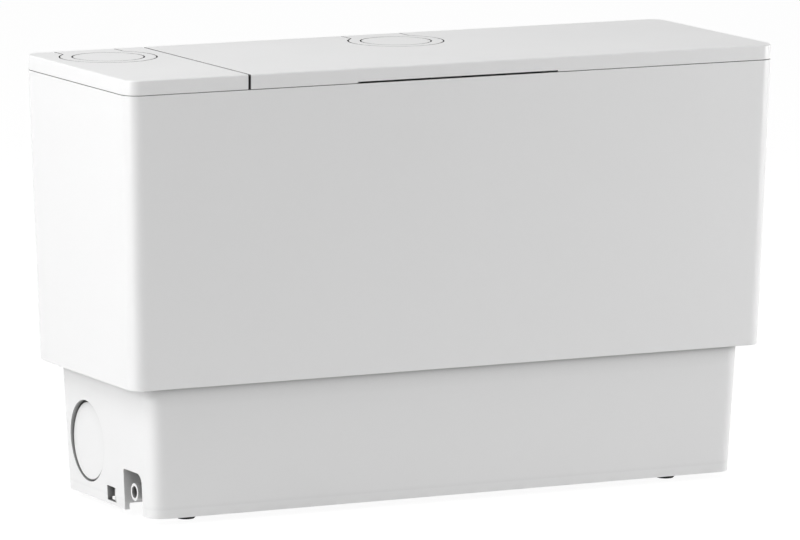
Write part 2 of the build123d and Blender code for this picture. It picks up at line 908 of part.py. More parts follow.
def lid_tray(lid, low_x, high_x, knockout_x, tab_xs):
    """Shallow lid with a skirt, ribs, locating tabs and a scored knock-out."""
    middle_x = (low_x + high_x) / 2
    span_x = high_x - low_x
    with BuildSketch(Plane.XY.offset(lid_bottom)) as outline:
        RectangleRounded(length, depth, corner_radius)
        with Locations((middle_x, 0)):
            Rectangle(span_x, depth, mode=Mode.INTERSECT)
    extrude(outline.sketch, amount=lid_height)
    fillet(lid.edges().group_by(Axis.Z)[-1], lid_edge_round)
    fillet(lid.edges().group_by(Axis.Z)[0], lid_foot_round)
    with BuildSketch(Plane.XY.offset(lid_bottom)) as hollow:
        add(outline.sketch)
        offset(amount=-lid_wall, mode=Mode.REPLACE)
    extrude(hollow.sketch, amount=lid_height - lid_plate, mode=Mode.SUBTRACT)
    # ribs under the plate, kept off the knock-out
    with BuildSketch(Plane.XY.offset(lid_underside - lid_rib_height)) as ribs:
        for rib_y in lid_cross_rib_ys:
            with Locations((middle_x, rib_y)):
                Rectangle(span_x - 2 * lid_wall, rib_thickness)
        rib_count = int(span_x // lid_rib_pitch)
        for count in range(1, rib_count):
            with Locations((low_x + count * span_x / rib_count, 0)):
                Rectangle(rib_thickness, depth - 2 * lid_wall)
        with Locations((knockout_x, outlet_y)):
            Circle(keyhole_radius + lid_rib_keepout, mode=Mode.SUBTRACT)
        with Locations((knockout_x, (outlet_y + depth / 2) / 2)):
            Rectangle(2 * (keyhole_neck_half + lid_rib_keepout), depth / 2 - outlet_y, mode=Mode.SUBTRACT)
    extrude(ribs.sketch, amount=lid_rib_height)
    # locating tabs that reach down inside the casing
    tab_low = lid_bottom - lid_tab_depth
    tab_y = half_y(tab_low) - casing_wall - lid_tab_gap
    for tab_x in tab_xs:
        for side in (-1, 1):
            slab(
                (tab_x - lid_tab_width / 2, tab_x + lid_tab_width / 2),
                sorted((side * tab_y, side * (tab_y - lid_tab_thickness))),
                (tab_low, lid_underside),
            )
    # score lines
    groove = keyhole(knockout_x, groove_width / 2) - keyhole(knockout_x, -groove_width / 2)
    extrude(groove, amount=groove_depth + 1, mode=Mode.SUBTRACT)
    ring_low = height - groove_depth
    turned(
        (knockout_x, outlet_y),
        [
            (knockout_radius - groove_width / 2, ring_low),
            (knockout_radius + groove_width / 2, ring_low),
            (knockout_radius + groove_width / 2, height + 1),
            (knockout_radius - groove_width / 2, height + 1),
        ],
        Mode.SUBTRACT,
    )
    for side in (-1, 1):
        line_x = knockout_x + side * keyhole_neck_half
        slab(
            (line_x - groove_width / 2, line_x + groove_width / 2),
            (depth / 2 - skirt_groove_depth, depth / 2 + 1),
            (lid_bottom - 1, height),
            Mode.SUBTRACT,
        )


# Small lid over the discharge outlet
with BuildPart() as small_lid:
    lid_tray(small_lid, -length / 2, lid_split_x - lid_split_gap / 2, outlet_x, small_lid_tab_xs)
small_lid.part.label = "small_lid"
export_step(small_lid.part, "parts/small_lid.step")

# Main lid over the motor, with the finger gap in its front edge
with BuildPart() as main_lid:
    lid_tray(main_lid, lid_split_x + lid_split_gap / 2, length / 2, top_inlet_x, main_lid_tab_xs)
    slab(
        (-finger_gap_half, finger_gap_half),
        (-depth / 2 - 1, -depth / 2 + lid_wall + 1),
        (lid_bottom - 1, lid_bottom + finger_gap_height),
        Mode.SUBTRACT,
    )
main_lid.part.label = "main_lid"
export_step(main_lid.part, "parts/main_lid.step")

# Rubber feet, pushed into bosses under the tank
stem_radius = foot_stem_radius - slip_gap
stem_top = foot_height + foot_stem_height
for foot_x, end_name in zip(foot_xs, ("left", "right")):
    for foot_y, side_name in zip(foot_ys, ("front", "back")):
        with BuildPart() as foot:
            turned(
                (foot_x, foot_y),
                [
                    (0, 0),
                    (foot_radius - 3 * foot_edge, 0),
                    (foot_radius - foot_edge, 2 * foot_edge),
                    (foot_radius, foot_height),
                    (stem_radius, foot_height),
                    (stem_radius, stem_top - 1),
                    (stem_radius - 1, stem_top),
                    (0, stem_top),
                ],
            )
        foot_name = f"foot_{side_name}_{end_name}"
        foot.part.label = foot_name
        export_step(foot.part, f"parts/{foot_name}.step")

# Stopper in the side inlet: a flush disc on a hollow cup that carries the sealing ring
plug_face_x = socket_face_x + plug_sink
cup_start_x = plug_face_x + plug_disc_thickness
cup_end_x = cup_start_x + plug_cup_length
cup_radius = side_socket_radius - plug_gap
cup_inner = cup_radius - oring_depth - plug_cup_wall
groove_mid_x = cup_end_x - oring_setback
groove_start_x = groove_mid_x - oring_thickness / 2
groove_end_x = groove_mid_x + oring_thickness / 2
oring_inner = cup_radius - oring_depth
oring_outer = side_socket_radius - running_gap
plug_line = Axis((0, side_inlet_y, side_inlet_z), (1, 0, 0))
plug_plane = Plane(origin=(0, side_inlet_y, side_inlet_z), x_dir=(1, 0, 0), z_dir=(0, -1, 0))
with BuildPart() as side_inlet_plug:
    with BuildSketch(plug_plane) as plug_half:
        with BuildLine():
            Polyline(
                (plug_face_x, 0),
                (plug_face_x, plug_disc_radius - plug_edge),
                (plug_face_x + plug_edge, plug_disc_radius),
                (cup_start_x, plug_disc_radius),
                (cup_start_x, cup_radius),
                (groove_start_x, cup_radius),
                (groove_start_x, oring_inner),
                (groove_end_x, oring_inner),
                (groove_end_x, cup_radius),
                (cup_end_x - plug_lead_in, cup_radius),
                (cup_end_x, cup_radius - plug_lead_in),
                (cup_end_x, cup_inner),
                (cup_start_x, cup_inner),
                (cup_start_x, 0),
                close=True,
            )
        make_face()
    revolve(plug_half.sketch, axis=plug_line)
    # cross web inside the cup
    web_x = (cup_start_x - plug_web_bed, cup_end_x - plug_web_setback)
    web_reach = cup_inner + plug_web_bed
    slab(
        web_x,
        (side_inlet_y - plug_web / 2, side_inlet_y + plug_web / 2),
        (side_inlet_z - web_reach, side_inlet_z + web_reach),
    )
    slab(
        web_x,
        (side_inlet_y - web_reach, side_inlet_y + web_reach),
        (side_inlet_z - plug_web / 2, side_inlet_z + plug_web / 2),
    )
side_inlet_plug.part.label = "side_inlet_plug"
export_step(side_inlet_plug.part, "parts/side_inlet_plug.step")

# Sealing ring in the stopper's groove
with BuildPart() as side_inlet_seal:
    with BuildSketch(plug_plane) as ring_half:
        with Locations((groove_mid_x, (oring_inner + oring_outer) / 2)):
            RectangleRounded(oring_thickness - 2 * slip_gap, oring_outer - oring_inner, oring_round)
    revolve(ring_half.sketch, axis=plug_line)
side_inlet_seal.part.label = "side_inlet_seal"
export_step(side_inlet_seal.part, "parts/side_inlet_seal.step")

# Flap that hangs over the side inlet's inner end and swings inwards
flap_radius = side_socket_radius + flap_overlap
flap_face_x = socket_inner_x + seat_gap
arm_half = ear_inner - flap_side_gap
arm_y = (side_inlet_y - arm_half, side_inlet_y + arm_half)
with BuildPart() as side_inlet_flap:
    bar(
        (flap_face_x, side_inlet_y, side_inlet_z),
        (flap_face_x + flap_thickness, side_inlet_y, side_inlet_z),
        flap_radius,
    )
    slab(
        (flap_face_x, flap_face_x + flap_thickness),
        arm_y,
        (side_inlet_z + flap_radius - flap_arm_overlap, flap_pin_z + flap_knuckle_radius),
    )
    bar((flap_pin_x, arm_y[0], flap_pin_z), (flap_pin_x, arm_y[1], flap_pin_z), flap_knuckle_radius)
    slab(
        (flap_pin_x, flap_face_x + flap_thickness / 2),
        arm_y,
        (flap_pin_z, flap_pin_z + flap_knuckle_radius),
    )
    bar(
        (flap_pin_x, side_inlet_y - ear_inner, flap_pin_z),
        (flap_pin_x, side_inlet_y + ear_inner, flap_pin_z),
        flap_pin_radius + running_gap,
        Mode.SUBTRACT,
    )
side_inlet_flap.part.label = "side_inlet_flap"
export_step(side_inlet_flap.part, "parts/side_inlet_flap.step")

# Pin of the side inlet's flap
with BuildPart() as side_inlet_flap_pin:
    bar(
        (flap_pin_x, side_inlet_y - flap_pin_length / 2, flap_pin_z),
        (flap_pin_x, side_inlet_y + flap_pin_length / 2, flap_pin_z),
        flap_pin_radius,
    )
side_inlet_flap_pin.part.label = "side_inlet_flap_pin"
export_step(side_inlet_flap_pin.part, "parts/side_inlet_flap_pin.step")

# Rubber sleeve of the toilet inlet: it grips the tank's wall between two collars
wc_bore = wc_pipe_radius + wc_pipe_gap
sleeve_end_x = half_x(wc_z) + wc_sleeve_out
wall_in_x = base_half_x - tank_wall
stop_x = wall_in_x - wc_collar_inner
with BuildPart() as wc_inlet_sleeve:
    with BuildSketch(Plane(origin=(0, 0, wc_z), x_dir=(1, 0, 0), z_dir=(0, -1, 0))) as sleeve_half:
        with BuildLine():
            Polyline(
                (stop_x, wc_bore - wc_sleeve_stop),
                (wall_in_x - wc_sleeve_chamfer, wc_bore - wc_sleeve_stop),
                (wall_in_x - wc_sleeve_chamfer, wc_bore),
                (sleeve_end_x, wc_bore),
                (sleeve_end_x, wc_hole_radius - wc_sleeve_chamfer),
                (sleeve_end_x - wc_sleeve_chamfer, wc_hole_radius),
                (base_half_x + wc_collar_outer, wc_hole_radius),
                (base_half_x + wc_collar_outer, collar_radius - wc_sleeve_chamfer),
                (base_half_x + wc_collar_outer - wc_sleeve_chamfer, collar_radius),
                (base_half_x, collar_radius),
                (base_half_x, wc_hole_radius),
                (wall_in_x, wc_hole_radius),
                (wall_in_x, collar_radius),
                ((wall_in_x + stop_x) / 2, collar_radius),
                (stop_x, wc_hole_radius),
                close=True,
            )
        make_face()
    revolve(sleeve_half.sketch, axis=Axis((0, 0, wc_z), (1, 0, 0)))
wc_inlet_sleeve.part.label = "wc_inlet_sleeve"
export_step(wc_inlet_sleeve.part, "parts/wc_inlet_sleeve.step")

# Rubber port of the top inlet, through the cover
port_bore = top_inlet_pipe_radius + slip_gap
port_stop = port_bore - port_stop_width
port_outer = top_inlet_pipe_radius + top_inlet_wall
port_bottom = cover_bottom - top_inlet_drop
port_flange_top = cover_top + top_inlet_flange
port_top = port_flange_top + top_inlet_grip
with BuildPart() as top_inlet_port:
    turned(
        (top_inlet_x, outlet_y),
        [
            (port_stop, port_bottom),
            (port_outer - port_chamfer, port_bottom),
            (port_outer, cover_bottom),
            (port_outer, cover_top),
            (top_inlet_flange_radius, cover_top),
            (top_inlet_flange_radius, port_flange_top - port_chamfer),
            (top_inlet_flange_radius - port_chamfer, port_flange_top),
            (port_outer, port_flange_top),
            (port_outer, port_top),
            (port_bore, port_top),
            (port_bore, port_flange_top),
            (port_stop, port_flange_top - port_chamfer),
        ],
    )
top_inlet_port.part.label = "top_inlet_port"
export_step(top_inlet_port.part, "parts/top_inlet_port.step")


def band(centre, inner, low_z):
    """Upright worm-drive band with its screw housing on the side towards the front."""
    outer = inner + clamp_thickness
    high_z = low_z + clamp_width
    housing_y = centre[1] - outer
    screw_y = housing_y - clamp_screw_offset
    turned(centre, [(inner, low_z), (outer, low_z), (outer, high_z), (inner, high_z)])
    slab(
        (centre[0] - clamp_housing_half, centre[0] + clamp_housing_half),
        (housing_y - clamp_housing_out, housing_y + clamp_bed),
        (low_z + clamp_lip, high_z - clamp_lip),
    )
    bar(
        (centre[0] - clamp_head_reach, screw_y, low_z + clamp_width / 2),
        (centre[0] + clamp_housing_half, screw_y, low_z + clamp_width / 2),
        clamp_screw_radius,
    )


# Band on the top inlet's rubber port
with BuildPart() as top_inlet_clamp:
    band((top_inlet_x, outlet_y), port_outer, port_top - clamp_width - clamp_setback)
top_inlet_clamp.part.label = "top_inlet_clamp"
export_step(top_inlet_clamp.part, "parts/top_inlet_clamp.step")

# Non-return valve: a cup that hangs through the cover, with its seat at the bottom
valve_bottom = cover_top - valve_depth
seat_z = valve_bottom + valve_seat_thickness
valve_spigot = pipe_bore_radius - slip_gap
valve_spigot_end = valve_bottom - valve_spigot_length
valve_flange_top = cover_top + valve_flange
screw_ring = (valve_bore_radius + valve_flange_radius) / 2
valve_screw_places = ring_places((outlet_x, outlet_y), screw_ring, valve_screw_angles)
valve_screw_hole = screw_hole_radius * valve_screw_size
valve_pin_x = outlet_x + valve_pin_offset
valve_pin_z = seat_z + valve_pin_lift
valve_knuckle_radius = valve_pin_radius + valve_knuckle_wall
with BuildPart() as check_valve_body:
    turned(
        (outlet_x, outlet_y),
        [
            (spigot_bore_radius, valve_spigot_end),
            (valve_spigot - valve_edge / 2, valve_spigot_end),
            (valve_spigot, valve_spigot_end + valve_edge),
            (valve_spigot, valve_bottom),
            (valve_radius - valve_edge, valve_bottom),
            (valve_radius, valve_bottom + valve_edge),
            (valve_radius, cover_top),
            (valve_flange_radius, cover_top),
            (valve_flange_radius, valve_flange_top),
            (valve_bore_radius, valve_flange_top),
            (valve_bore_radius, seat_z - valve_seat_lift),
            (spigot_bore_radius + valve_seat_width, seat_z - valve_seat_lift),
            (spigot_bore_radius + valve_seat_width * 0.7, seat_z),
            (spigot_bore_radius, seat_z),
        ],
    )
    for side in (-1, 1):
        slab(
            (valve_pin_x - valve_knuckle_radius, outlet_x + valve_bore_radius + valve_ear_bed),
            sorted((outlet_y + side * valve_ear_inner, outlet_y + side * valve_ear_outer)),
            (seat_z - valve_seat_lift - slip_gap, valve_pin_z + valve_knuckle_radius),
        )
    bar(
        (valve_pin_x, outlet_y - valve_ear_outer - 1, valve_pin_z),
        (valve_pin_x, outlet_y + valve_ear_outer + 1, valve_pin_z),
        valve_pin_radius,
        Mode.SUBTRACT,
    )
    drill(valve_screw_places, cover_top - 1, valve_flange_top + 1, valve_screw_hole)
check_valve_body.part.label = "check_valve_body"
export_step(check_valve_body.part, "parts/check_valve_body.step")

# Flap of the non-return valve, lying shut on its seat
disc_bottom = seat_z + seat_gap
disc_top = disc_bottom + valve_disc_thickness
with BuildPart() as check_valve_flap:
    turned(
        (outlet_x, outlet_y),
        [
            (0, disc_bottom),
            (valve_disc_radius, disc_bottom),
            (valve_disc_radius, disc_top - valve_disc_edge),
            (valve_disc_radius - valve_disc_edge, disc_top),
            (valve_boss_radius, disc_top),
            (valve_boss_radius - valve_boss_height, disc_top + valve_boss_height),
            (0, disc_top + valve_boss_height),
        ],
    )
    knuckle_half = valve_ear_inner - valve_side_gap
    valve_arm_half = knuckle_half - seat_gap
    slab(
        (outlet_x + valve_disc_radius - valve_arm_overlap, valve_pin_x),
        (outlet_y - valve_arm_half, outlet_y + valve_arm_half),
        (disc_bottom + valve_disc_edge, disc_top + valve_disc_edge),
    )
    bar(
        (valve_pin_x, outlet_y - knuckle_half, valve_pin_z),
        (valve_pin_x, outlet_y + knuckle_half, valve_pin_z),
        valve_knuckle_radius,
    )
    bar(
        (valve_pin_x, outlet_y - valve_ear_outer, valve_pin_z),
        (valve_pin_x, outlet_y + valve_ear_outer, valve_pin_z),
        valve_pin_radius + running_gap,
        Mode.SUBTRACT,
    )
check_valve_flap.part.label = "check_valve_flap"
export_step(check_valve_flap.part, "parts/check_valve_flap.step")

# Pin of the non-return valve's flap
with BuildPart() as check_valve_pin:
    bar(
        (valve_pin_x, outlet_y - valve_ear_outer, valve_pin_z),
        (valve_pin_x, outlet_y + valve_ear_outer, valve_pin_z),
        valve_pin_radius,
    )
check_valve_pin.part.label = "check_valve_pin"
export_step(check_valve_pin.part, "parts/check_valve_pin.step")

# Discharge outlet: the valve's cap, drawn up into a spigot for the rising hose
outlet_base = valve_flange_top
outlet_flange_top = outlet_base + valve_flange
outlet_top = lid_underside - outlet_below_lid
shoulder_outer = screw_ring - valve_screw_room
shoulder_inner = shoulder_outer - outlet_shoulder_wall
with BuildPart() as discharge_outlet:
    turned(
        (outlet_x, outlet_y),
        [
            (valve_bore_radius, outlet_base),
            (valve_flange_radius, outlet_base),
            (valve_flange_radius, outlet_flange_top),
            (shoulder_outer, outlet_flange_top),
            (outlet_radius, outlet_flange_top + outlet_shoulder),
            (outlet_radius, outlet_top - outlet_edge),
            (outlet_radius - outlet_edge, outlet_top),
            (outlet_bore_radius, outlet_top),
            (outlet_bore_radius, outlet_flange_top + outlet_shoulder + outlet_edge),
            (shoulder_inner, outlet_flange_top),
            (valve_bore_radius, outlet_base + outlet_edge),
        ],
    )
    drill(valve_screw_places, outlet_base - 1, outlet_flange_top + 1, valve_screw_hole)
discharge_outlet.part.label = "discharge_outlet"
export_step(discharge_outlet.part, "parts/discharge_outlet.step")

# Screws that close the valve
with BuildPart() as valve_screws:
    for place in valve_screw_places:
        pan_head_screw(place, outlet_flange_top, valve_screw_length, valve_screw_size)
valve_screws.part.label = "valve_screws"
export_step(valve_screws.part, "parts/valve_screws.step")

# Discharge pipe, from the pump along the back of the tank and up to the valve
nozzle_radius = pipe_bore_radius - slip_gap
nozzle_y = volute_small_radius + spigot_bore_radius
nozzle_z = volute_top - nozzle_cover_gap - nozzle_radius
pipe_start_x = motor_x - volute_small_radius - nozzle_reach
pipe_slope_x = pipe_start_x - pipe_low_run
pipe_high_z = side_inlet_z + side_boss_radius + pipe_radius + pipe_over_flap
pipe_route = [
    (pipe_start_x, nozzle_y, nozzle_z),
    (pipe_slope_x, nozzle_y, nozzle_z),
    (pipe_slope_x - (pipe_high_z - nozzle_z), outlet_y, pipe_high_z),
    (outlet_x, outlet_y, pipe_high_z),
    (outlet_x, outlet_y, valve_bottom - pipe_end_gap),
]
with BuildPart() as discharge_pipe:
    with BuildLine() as pipe_line:
        FilletPolyline(*pipe_route, radius=pipe_bend_radius)
    with BuildSketch(Plane(origin=pipe_route[0], z_dir=(-1, 0, 0))) as pipe_section:
        Circle(pipe_radius)
        Circle(pipe_bore_radius, mode=Mode.SUBTRACT)
    sweep(pipe_section.sketch, path=pipe_line.wire())
discharge_pipe.part.label = "discharge_pipe"
export_step(discharge_pipe.part, "parts/discharge_pipe.step")

# Bands on the two ends of the discharge pipe
with BuildPart() as hose_clamps:
    band((outlet_x, outlet_y), pipe_radius, valve_spigot_end + clamp_setback)
    band_x = pipe_start_x - clamp_width - clamp_setback
    band_end_x = band_x + clamp_width
    band_top = nozzle_z + pipe_radius + clamp_thickness
    bar((band_x, nozzle_y, nozzle_z), (band_end_x, nozzle_y, nozzle_z), pipe_radius + clamp_thickness)
    slab(
        (band_x + clamp_lip, band_end_x - clamp_lip),
        (nozzle_y - clamp_housing_half, nozzle_y + clamp_housing_half),
        (band_top - clamp_thickness, band_top + clamp_housing_out),
    )
    bar((band_x - 1, nozzle_y, nozzle_z), (band_end_x + 1, nozzle_y, nozzle_z), pipe_radius, Mode.SUBTRACT)
hose_clamps.part.label = "hose_clamps"
export_step(hose_clamps.part, "parts/hose_clamps.step")


def scroll(grow, z):
    """Spiral outline round the shaft, widening towards the outlet, grown outwards by grow."""
    points = []
    for step in range(volute_steps + 1):
        turn = step / volute_steps
        angle = radians(volute_start_angle + volute_sweep * turn)
        reach = volute_small_radius + volute_growth * turn + grow
        points.append((motor_x + reach * cos(angle), reach * sin(angle)))
    with BuildSketch(Plane.XY.offset(z)) as outline:
        with BuildLine():
            spiral = Spline(*points)
            Line(spiral @ 1, spiral @ 0)
        make_face()
    return outline.sketch


# Pump housing: a spiral chamber on three legs, with its suction eye underneath
nozzle_start = (motor_x, nozzle_y, nozzle_z)
nozzle_end_x = pipe_start_x - nozzle_grip
chamber_bottom = volute_bottom + volute_base
eye_bottom = volute_bottom - eye_lip_depth
with BuildPart() as pump_volute:
    extrude(scroll(volute_wall, volute_bottom), amount=volute_height)
    bar(nozzle_start, (nozzle_end_x, nozzle_y, nozzle_z), nozzle_radius)
    extrude(scroll(0, chamber_bottom), amount=volute_height, mode=Mode.SUBTRACT)
    bar(nozzle_start, (nozzle_end_x - 1, nozzle_y, nozzle_z), spigot_bore_radius, Mode.SUBTRACT)
    pump_leg_places = ring_places((motor_x, 0), pump_leg_circle, pump_leg_angles)
    drill(pump_leg_places, floor_top, volute_bottom + 1, pump_leg_radius, Mode.ADD)
    turned(
        (motor_x, 0),
        [
            (0, eye_bottom),
            (suction_eye_radius + eye_lip, eye_bottom),
            (suction_eye_radius + eye_lip + 2, volute_bottom + 1),
            (0, volute_bottom + 1),
        ],
    )
    turned(
        (motor_x, 0),
        [
            (0, eye_bottom - 1),
            (suction_eye_radius + eye_lip / 2, eye_bottom - 1),
            (suction_eye_radius, eye_bottom + 2),
            (suction_eye_radius, chamber_bottom + 1),
            (0, chamber_bottom + 1),
        ],
        Mode.SUBTRACT,
    )
pump_volute.part.label = "pump_volute"
export_step(pump_volute.part, "parts/pump_volute.step")

# Cover plate of the pump housing, with a raised ring that centres the basket
spigot_ring_top = volute_cover_top + basket_spigot_height
with BuildPart() as volute_cover:
    extrude(scroll(volute_wall, volute_top), amount=volute_cover_thickness)
    turned(
        (motor_x, 0),
        [
            (0, volute_cover_top),
            (basket_spigot_radius, volute_cover_top),
            (basket_spigot_radius - 1, spigot_ring_top),
            (0, spigot_ring_top),
        ],
    )
    drill([(motor_x, 0)], volute_top - 1, spigot_ring_top + 1, shaft_radius + shaft_passage_gap)
volute_cover.part.label = "volute_cover"
export_step(volute_cover.part, "parts/volute_cover.step")

# Impeller: curved vanes hanging from a round shroud
impeller_top = volute_top - impeller_gap
shroud_bottom = impeller_top - impeller_shroud
vane_bottom = chamber_bottom + impeller_gap
shaft_seat_radius = shaft_radius + shaft_seat_gap
with BuildPart() as impeller:
    turned(
        (motor_x, 0),
        [
            (0, vane_bottom + impeller_nose_lift),
            (impeller_hub_radius - 3, vane_bottom + impeller_nose_lift),
            (impeller_hub_radius, vane_bottom + impeller_nose_height),
            (impeller_hub_radius, shroud_bottom),
            (impeller_radius, shroud_bottom),
            (impeller_radius, impeller_top),
            (0, impeller_top),
        ],
    )
    with BuildSketch(Plane.XY.offset(vane_bottom)) as vanes:
        with Locations((motor_x, 0)):
            with PolarLocations(0, vane_count):
                with BuildLine(mode=Mode.PRIVATE) as vane_edge:
                    ThreePointArc((impeller_hub_radius, 0), vane_middle, vane_tip)
                    offset(amount=vane_thickness / 2)
                add(make_face(vane_edge.edges(), mode=Mode.PRIVATE))
        with Locations((motor_x, 0)):
            Circle(impeller_radius, mode=Mode.INTERSECT)
    extrude(vanes.sketch, amount=shroud_bottom - vane_bottom + impeller_shroud / 2)
    drill([(motor_x, 0)], vane_bottom - 1, impeller_top + 1, shaft_seat_radius)
impeller.part.label = "impeller"
export_step(impeller.part, "parts/impeller.step")

# Macerator basket: an oval cage of upright bars over the pump
basket_stretch = tank_x(basket_bottom) - tank_wall - basket_end_gap - basket_radius - motor_x
basket_x = motor_x + basket_stretch / 2
basket_end_x = motor_x + basket_stretch
slot_low = basket_bottom + basket_floor + basket_slot_foot
slot_high = basket_top - basket_slot_head
straight_slots = int(basket_stretch // basket_slot_pitch)
with BuildPart() as cutter_basket:
    with BuildSketch(Plane.XY.offset(basket_bottom)) as basket_outline:
        with Locations((basket_x, 0)):
            SlotCenterToCenter(basket_stretch, 2 * basket_radius)
    extrude(basket_outline.sketch, amount=basket_height)
    with BuildSketch(Plane.XY.offset(basket_bottom + basket_floor)) as basket_hollow:
        with Locations((basket_x, 0)):
            SlotCenterToCenter(basket_stretch, 2 * (basket_radius - basket_wall))
    extrude(basket_hollow.sketch, amount=basket_height, mode=Mode.SUBTRACT)
    with BuildSketch(Plane.XY.offset(slot_low)) as slot_plan:
        with Locations((basket_x, 0)):
            with GridLocations(basket_stretch / straight_slots, 1, straight_slots, 1):
                Rectangle(basket_slot_width, 2 * (basket_radius + 2))
        for end_x, first_angle in ((motor_x, 90), (basket_end_x, -90)):
            slot_angles = [first_angle + count * 180 / round_slots for count in range(1, round_slots)]
            for angle, place in zip(slot_angles, ring_places((end_x, 0), basket_radius, slot_angles)):
                with Locations(place):
                    Rectangle(4 * basket_wall, basket_slot_width, rotation=angle)
    extrude(slot_plan.sketch, amount=slot_high - slot_low, mode=Mode.SUBTRACT)
    with BuildSketch(Plane.XY.offset(basket_bottom - 1)) as floor_slots:
        with Locations((motor_x, 0)):
            Circle(basket_spigot_radius + seat_gap)
            with PolarLocations(0, floor_slot_count):
                with Locations((floor_slot_circle, 0)):
                    SlotCenterToCenter(floor_slot_length, floor_slot_width)
        with Locations((basket_end_x, 0)):
            with GridLocations(2 * floor_slot_width, floor_slot_circle + 2, floor_slot_columns, 2):
                SlotCenterToCenter(floor_slot_length, floor_slot_width, rotation=90)
    extrude(floor_slots.sketch, amount=basket_floor + 2, mode=Mode.SUBTRACT)
cutter_basket.part.label = "cutter_basket"
export_step(cutter_basket.part, "parts/cutter_basket.step")

# Cutter: two bevelled arms on a hub, just over the basket's floor
blade_z = basket_bottom + basket_floor + blade_lift
blade_hub_top = blade_z + blade_hub_height
with BuildPart() as cutter_blade:
    with BuildSketch(Plane.XY.offset(blade_z)) as arms:
        with Locations((motor_x, 0)):
            with PolarLocations(0, 2):
                with BuildLine(mode=Mode.PRIVATE) as arm_edge:
                    Polyline(
                        (0, -blade_width / 2),
                        (blade_radius - blade_tip_length, -blade_width / 2),
                        (blade_radius, 0),
                        (blade_radius - blade_thickness, blade_width / 2),
                        (0, blade_width / 2),
                        close=True,
                    )
                add(make_face(arm_edge.edges(), mode=Mode.PRIVATE))
    extrude(arms.sketch, amount=blade_thickness)
    turned(
        (motor_x, 0),
        [
            (0, blade_z - 2),
            (blade_hub_radius - 2, blade_z - 2),
            (blade_hub_radius, blade_z),
            (blade_hub_radius, blade_hub_top - 3),
            (blade_hub_radius - 3, blade_hub_top),
            (0, blade_hub_top),
        ],
    )
    drill([(motor_x, 0)], blade_z - 3, blade_hub_top + 1, shaft_seat_radius)
cutter_blade.part.label = "cutter_blade"
export_step(cutter_blade.part, "parts/cutter_blade.step")

# Shaft through motor, macerator and pump, with a nut that carries the impeller
shaft_top = motor_top - upper_bearing_setback
nut_top = vane_bottom + impeller_nose_lift - slip_gap
nut_radius = impeller_hub_radius - 2
with BuildPart() as motor_shaft:
    turned(
        (motor_x, 0),
        [
            (0, vane_bottom),
            (shaft_radius - 1, vane_bottom),
            (shaft_radius, vane_bottom + 1),
            (shaft_radius, shaft_top - 1),
            (shaft_radius - 1, shaft_top),
            (0, shaft_top),
        ],
    )
    turned(
        (motor_x, 0),
        [
            (0, vane_bottom - shaft_nut_drop),
            (shaft_radius - 1, vane_bottom - shaft_nut_drop),
            (nut_radius, vane_bottom - 1),
            (nut_radius, nut_top),
            (0, nut_top),
        ],
    )
motor_shaft.part.label = "motor_shaft"
export_step(motor_shaft.part, "parts/motor_shaft.step")

# Rotor and stator share one stack height between the winding heads
lower_bearing_top = motor_bottom + motor_wall + bearing_width
stack_low = lower_bearing_top + winding_overhang + winding_clearance
stack_high = cover_top - winding_overhang - winding_clearance - 1
rotor_radius = stator_bore_radius - air_gap
end_ring_radius = stator_bore_radius - end_ring_height
with BuildPart() as rotor_core:
    turned(
        (motor_x, 0),
        [
            (0, stack_low - end_ring_height),
            (end_ring_radius, stack_low - end_ring_height),
            (end_ring_radius, stack_low),
            (rotor_radius, stack_low),
            (rotor_radius, stack_high),
            (end_ring_radius, stack_high),
            (end_ring_radius, stack_high + end_ring_height),
            (0, stack_high + end_ring_height),
        ],
    )
    drill(
        [(motor_x, 0)],
        stack_low - end_ring_height - 1,
        stack_high + end_ring_height + 1,
        shaft_seat_radius,
    )
rotor_core.part.label = "rotor_core"
export_step(rotor_core.part, "parts/rotor_core.step")

motor_inner = motor_radius - motor_wall
slot_circle = (stator_bore_radius + motor_inner) / 2 - stator_slot_inset
with BuildPart() as stator_core:
    with BuildSketch(Plane.XY.offset(stack_low)) as lamination:
        with Locations((motor_x, 0)):
            Circle(motor_inner - slip_gap)
            Circle(stator_bore_radius, mode=Mode.SUBTRACT)
            with PolarLocations(0, stator_slot_count):
                with Locations((slot_circle, 0)):
                    SlotCenterToCenter(stator_slot_length, stator_slot_width, mode=Mode.SUBTRACT)
    extrude(lamination.sketch, amount=stack_high - stack_low)
stator_core.part.label = "stator_core"
export_step(stator_core.part, "parts/stator_core.step")

winding_inner = stator_bore_radius + winding_room
winding_outer = motor_inner - winding_room - winding_bulge
with BuildPart() as stator_windings:
    for low_z, high_z in (
        (stack_low - winding_overhang, stack_low),
        (stack_high, stack_high + winding_overhang),
    ):
        middle = (low_z + high_z) / 2
        turned(
            (motor_x, 0),
            [
                (winding_inner + winding_bulge, low_z + winding_round),
                (winding_inner + winding_bulge + winding_round, low_z),
                (winding_outer - winding_round, low_z),
                (winding_outer, low_z + winding_round),
                (winding_outer + winding_bulge, middle),
                (winding_outer, high_z - winding_round),
                (winding_outer - winding_round, high_z),
                (winding_inner + winding_bulge + winding_round, high_z),
                (winding_inner + winding_bulge, high_z - winding_round),
                (winding_inner, middle),
            ],
        )
stator_windings.part.label = "stator_windings"
export_step(stator_windings.part, "parts/stator_windings.step")

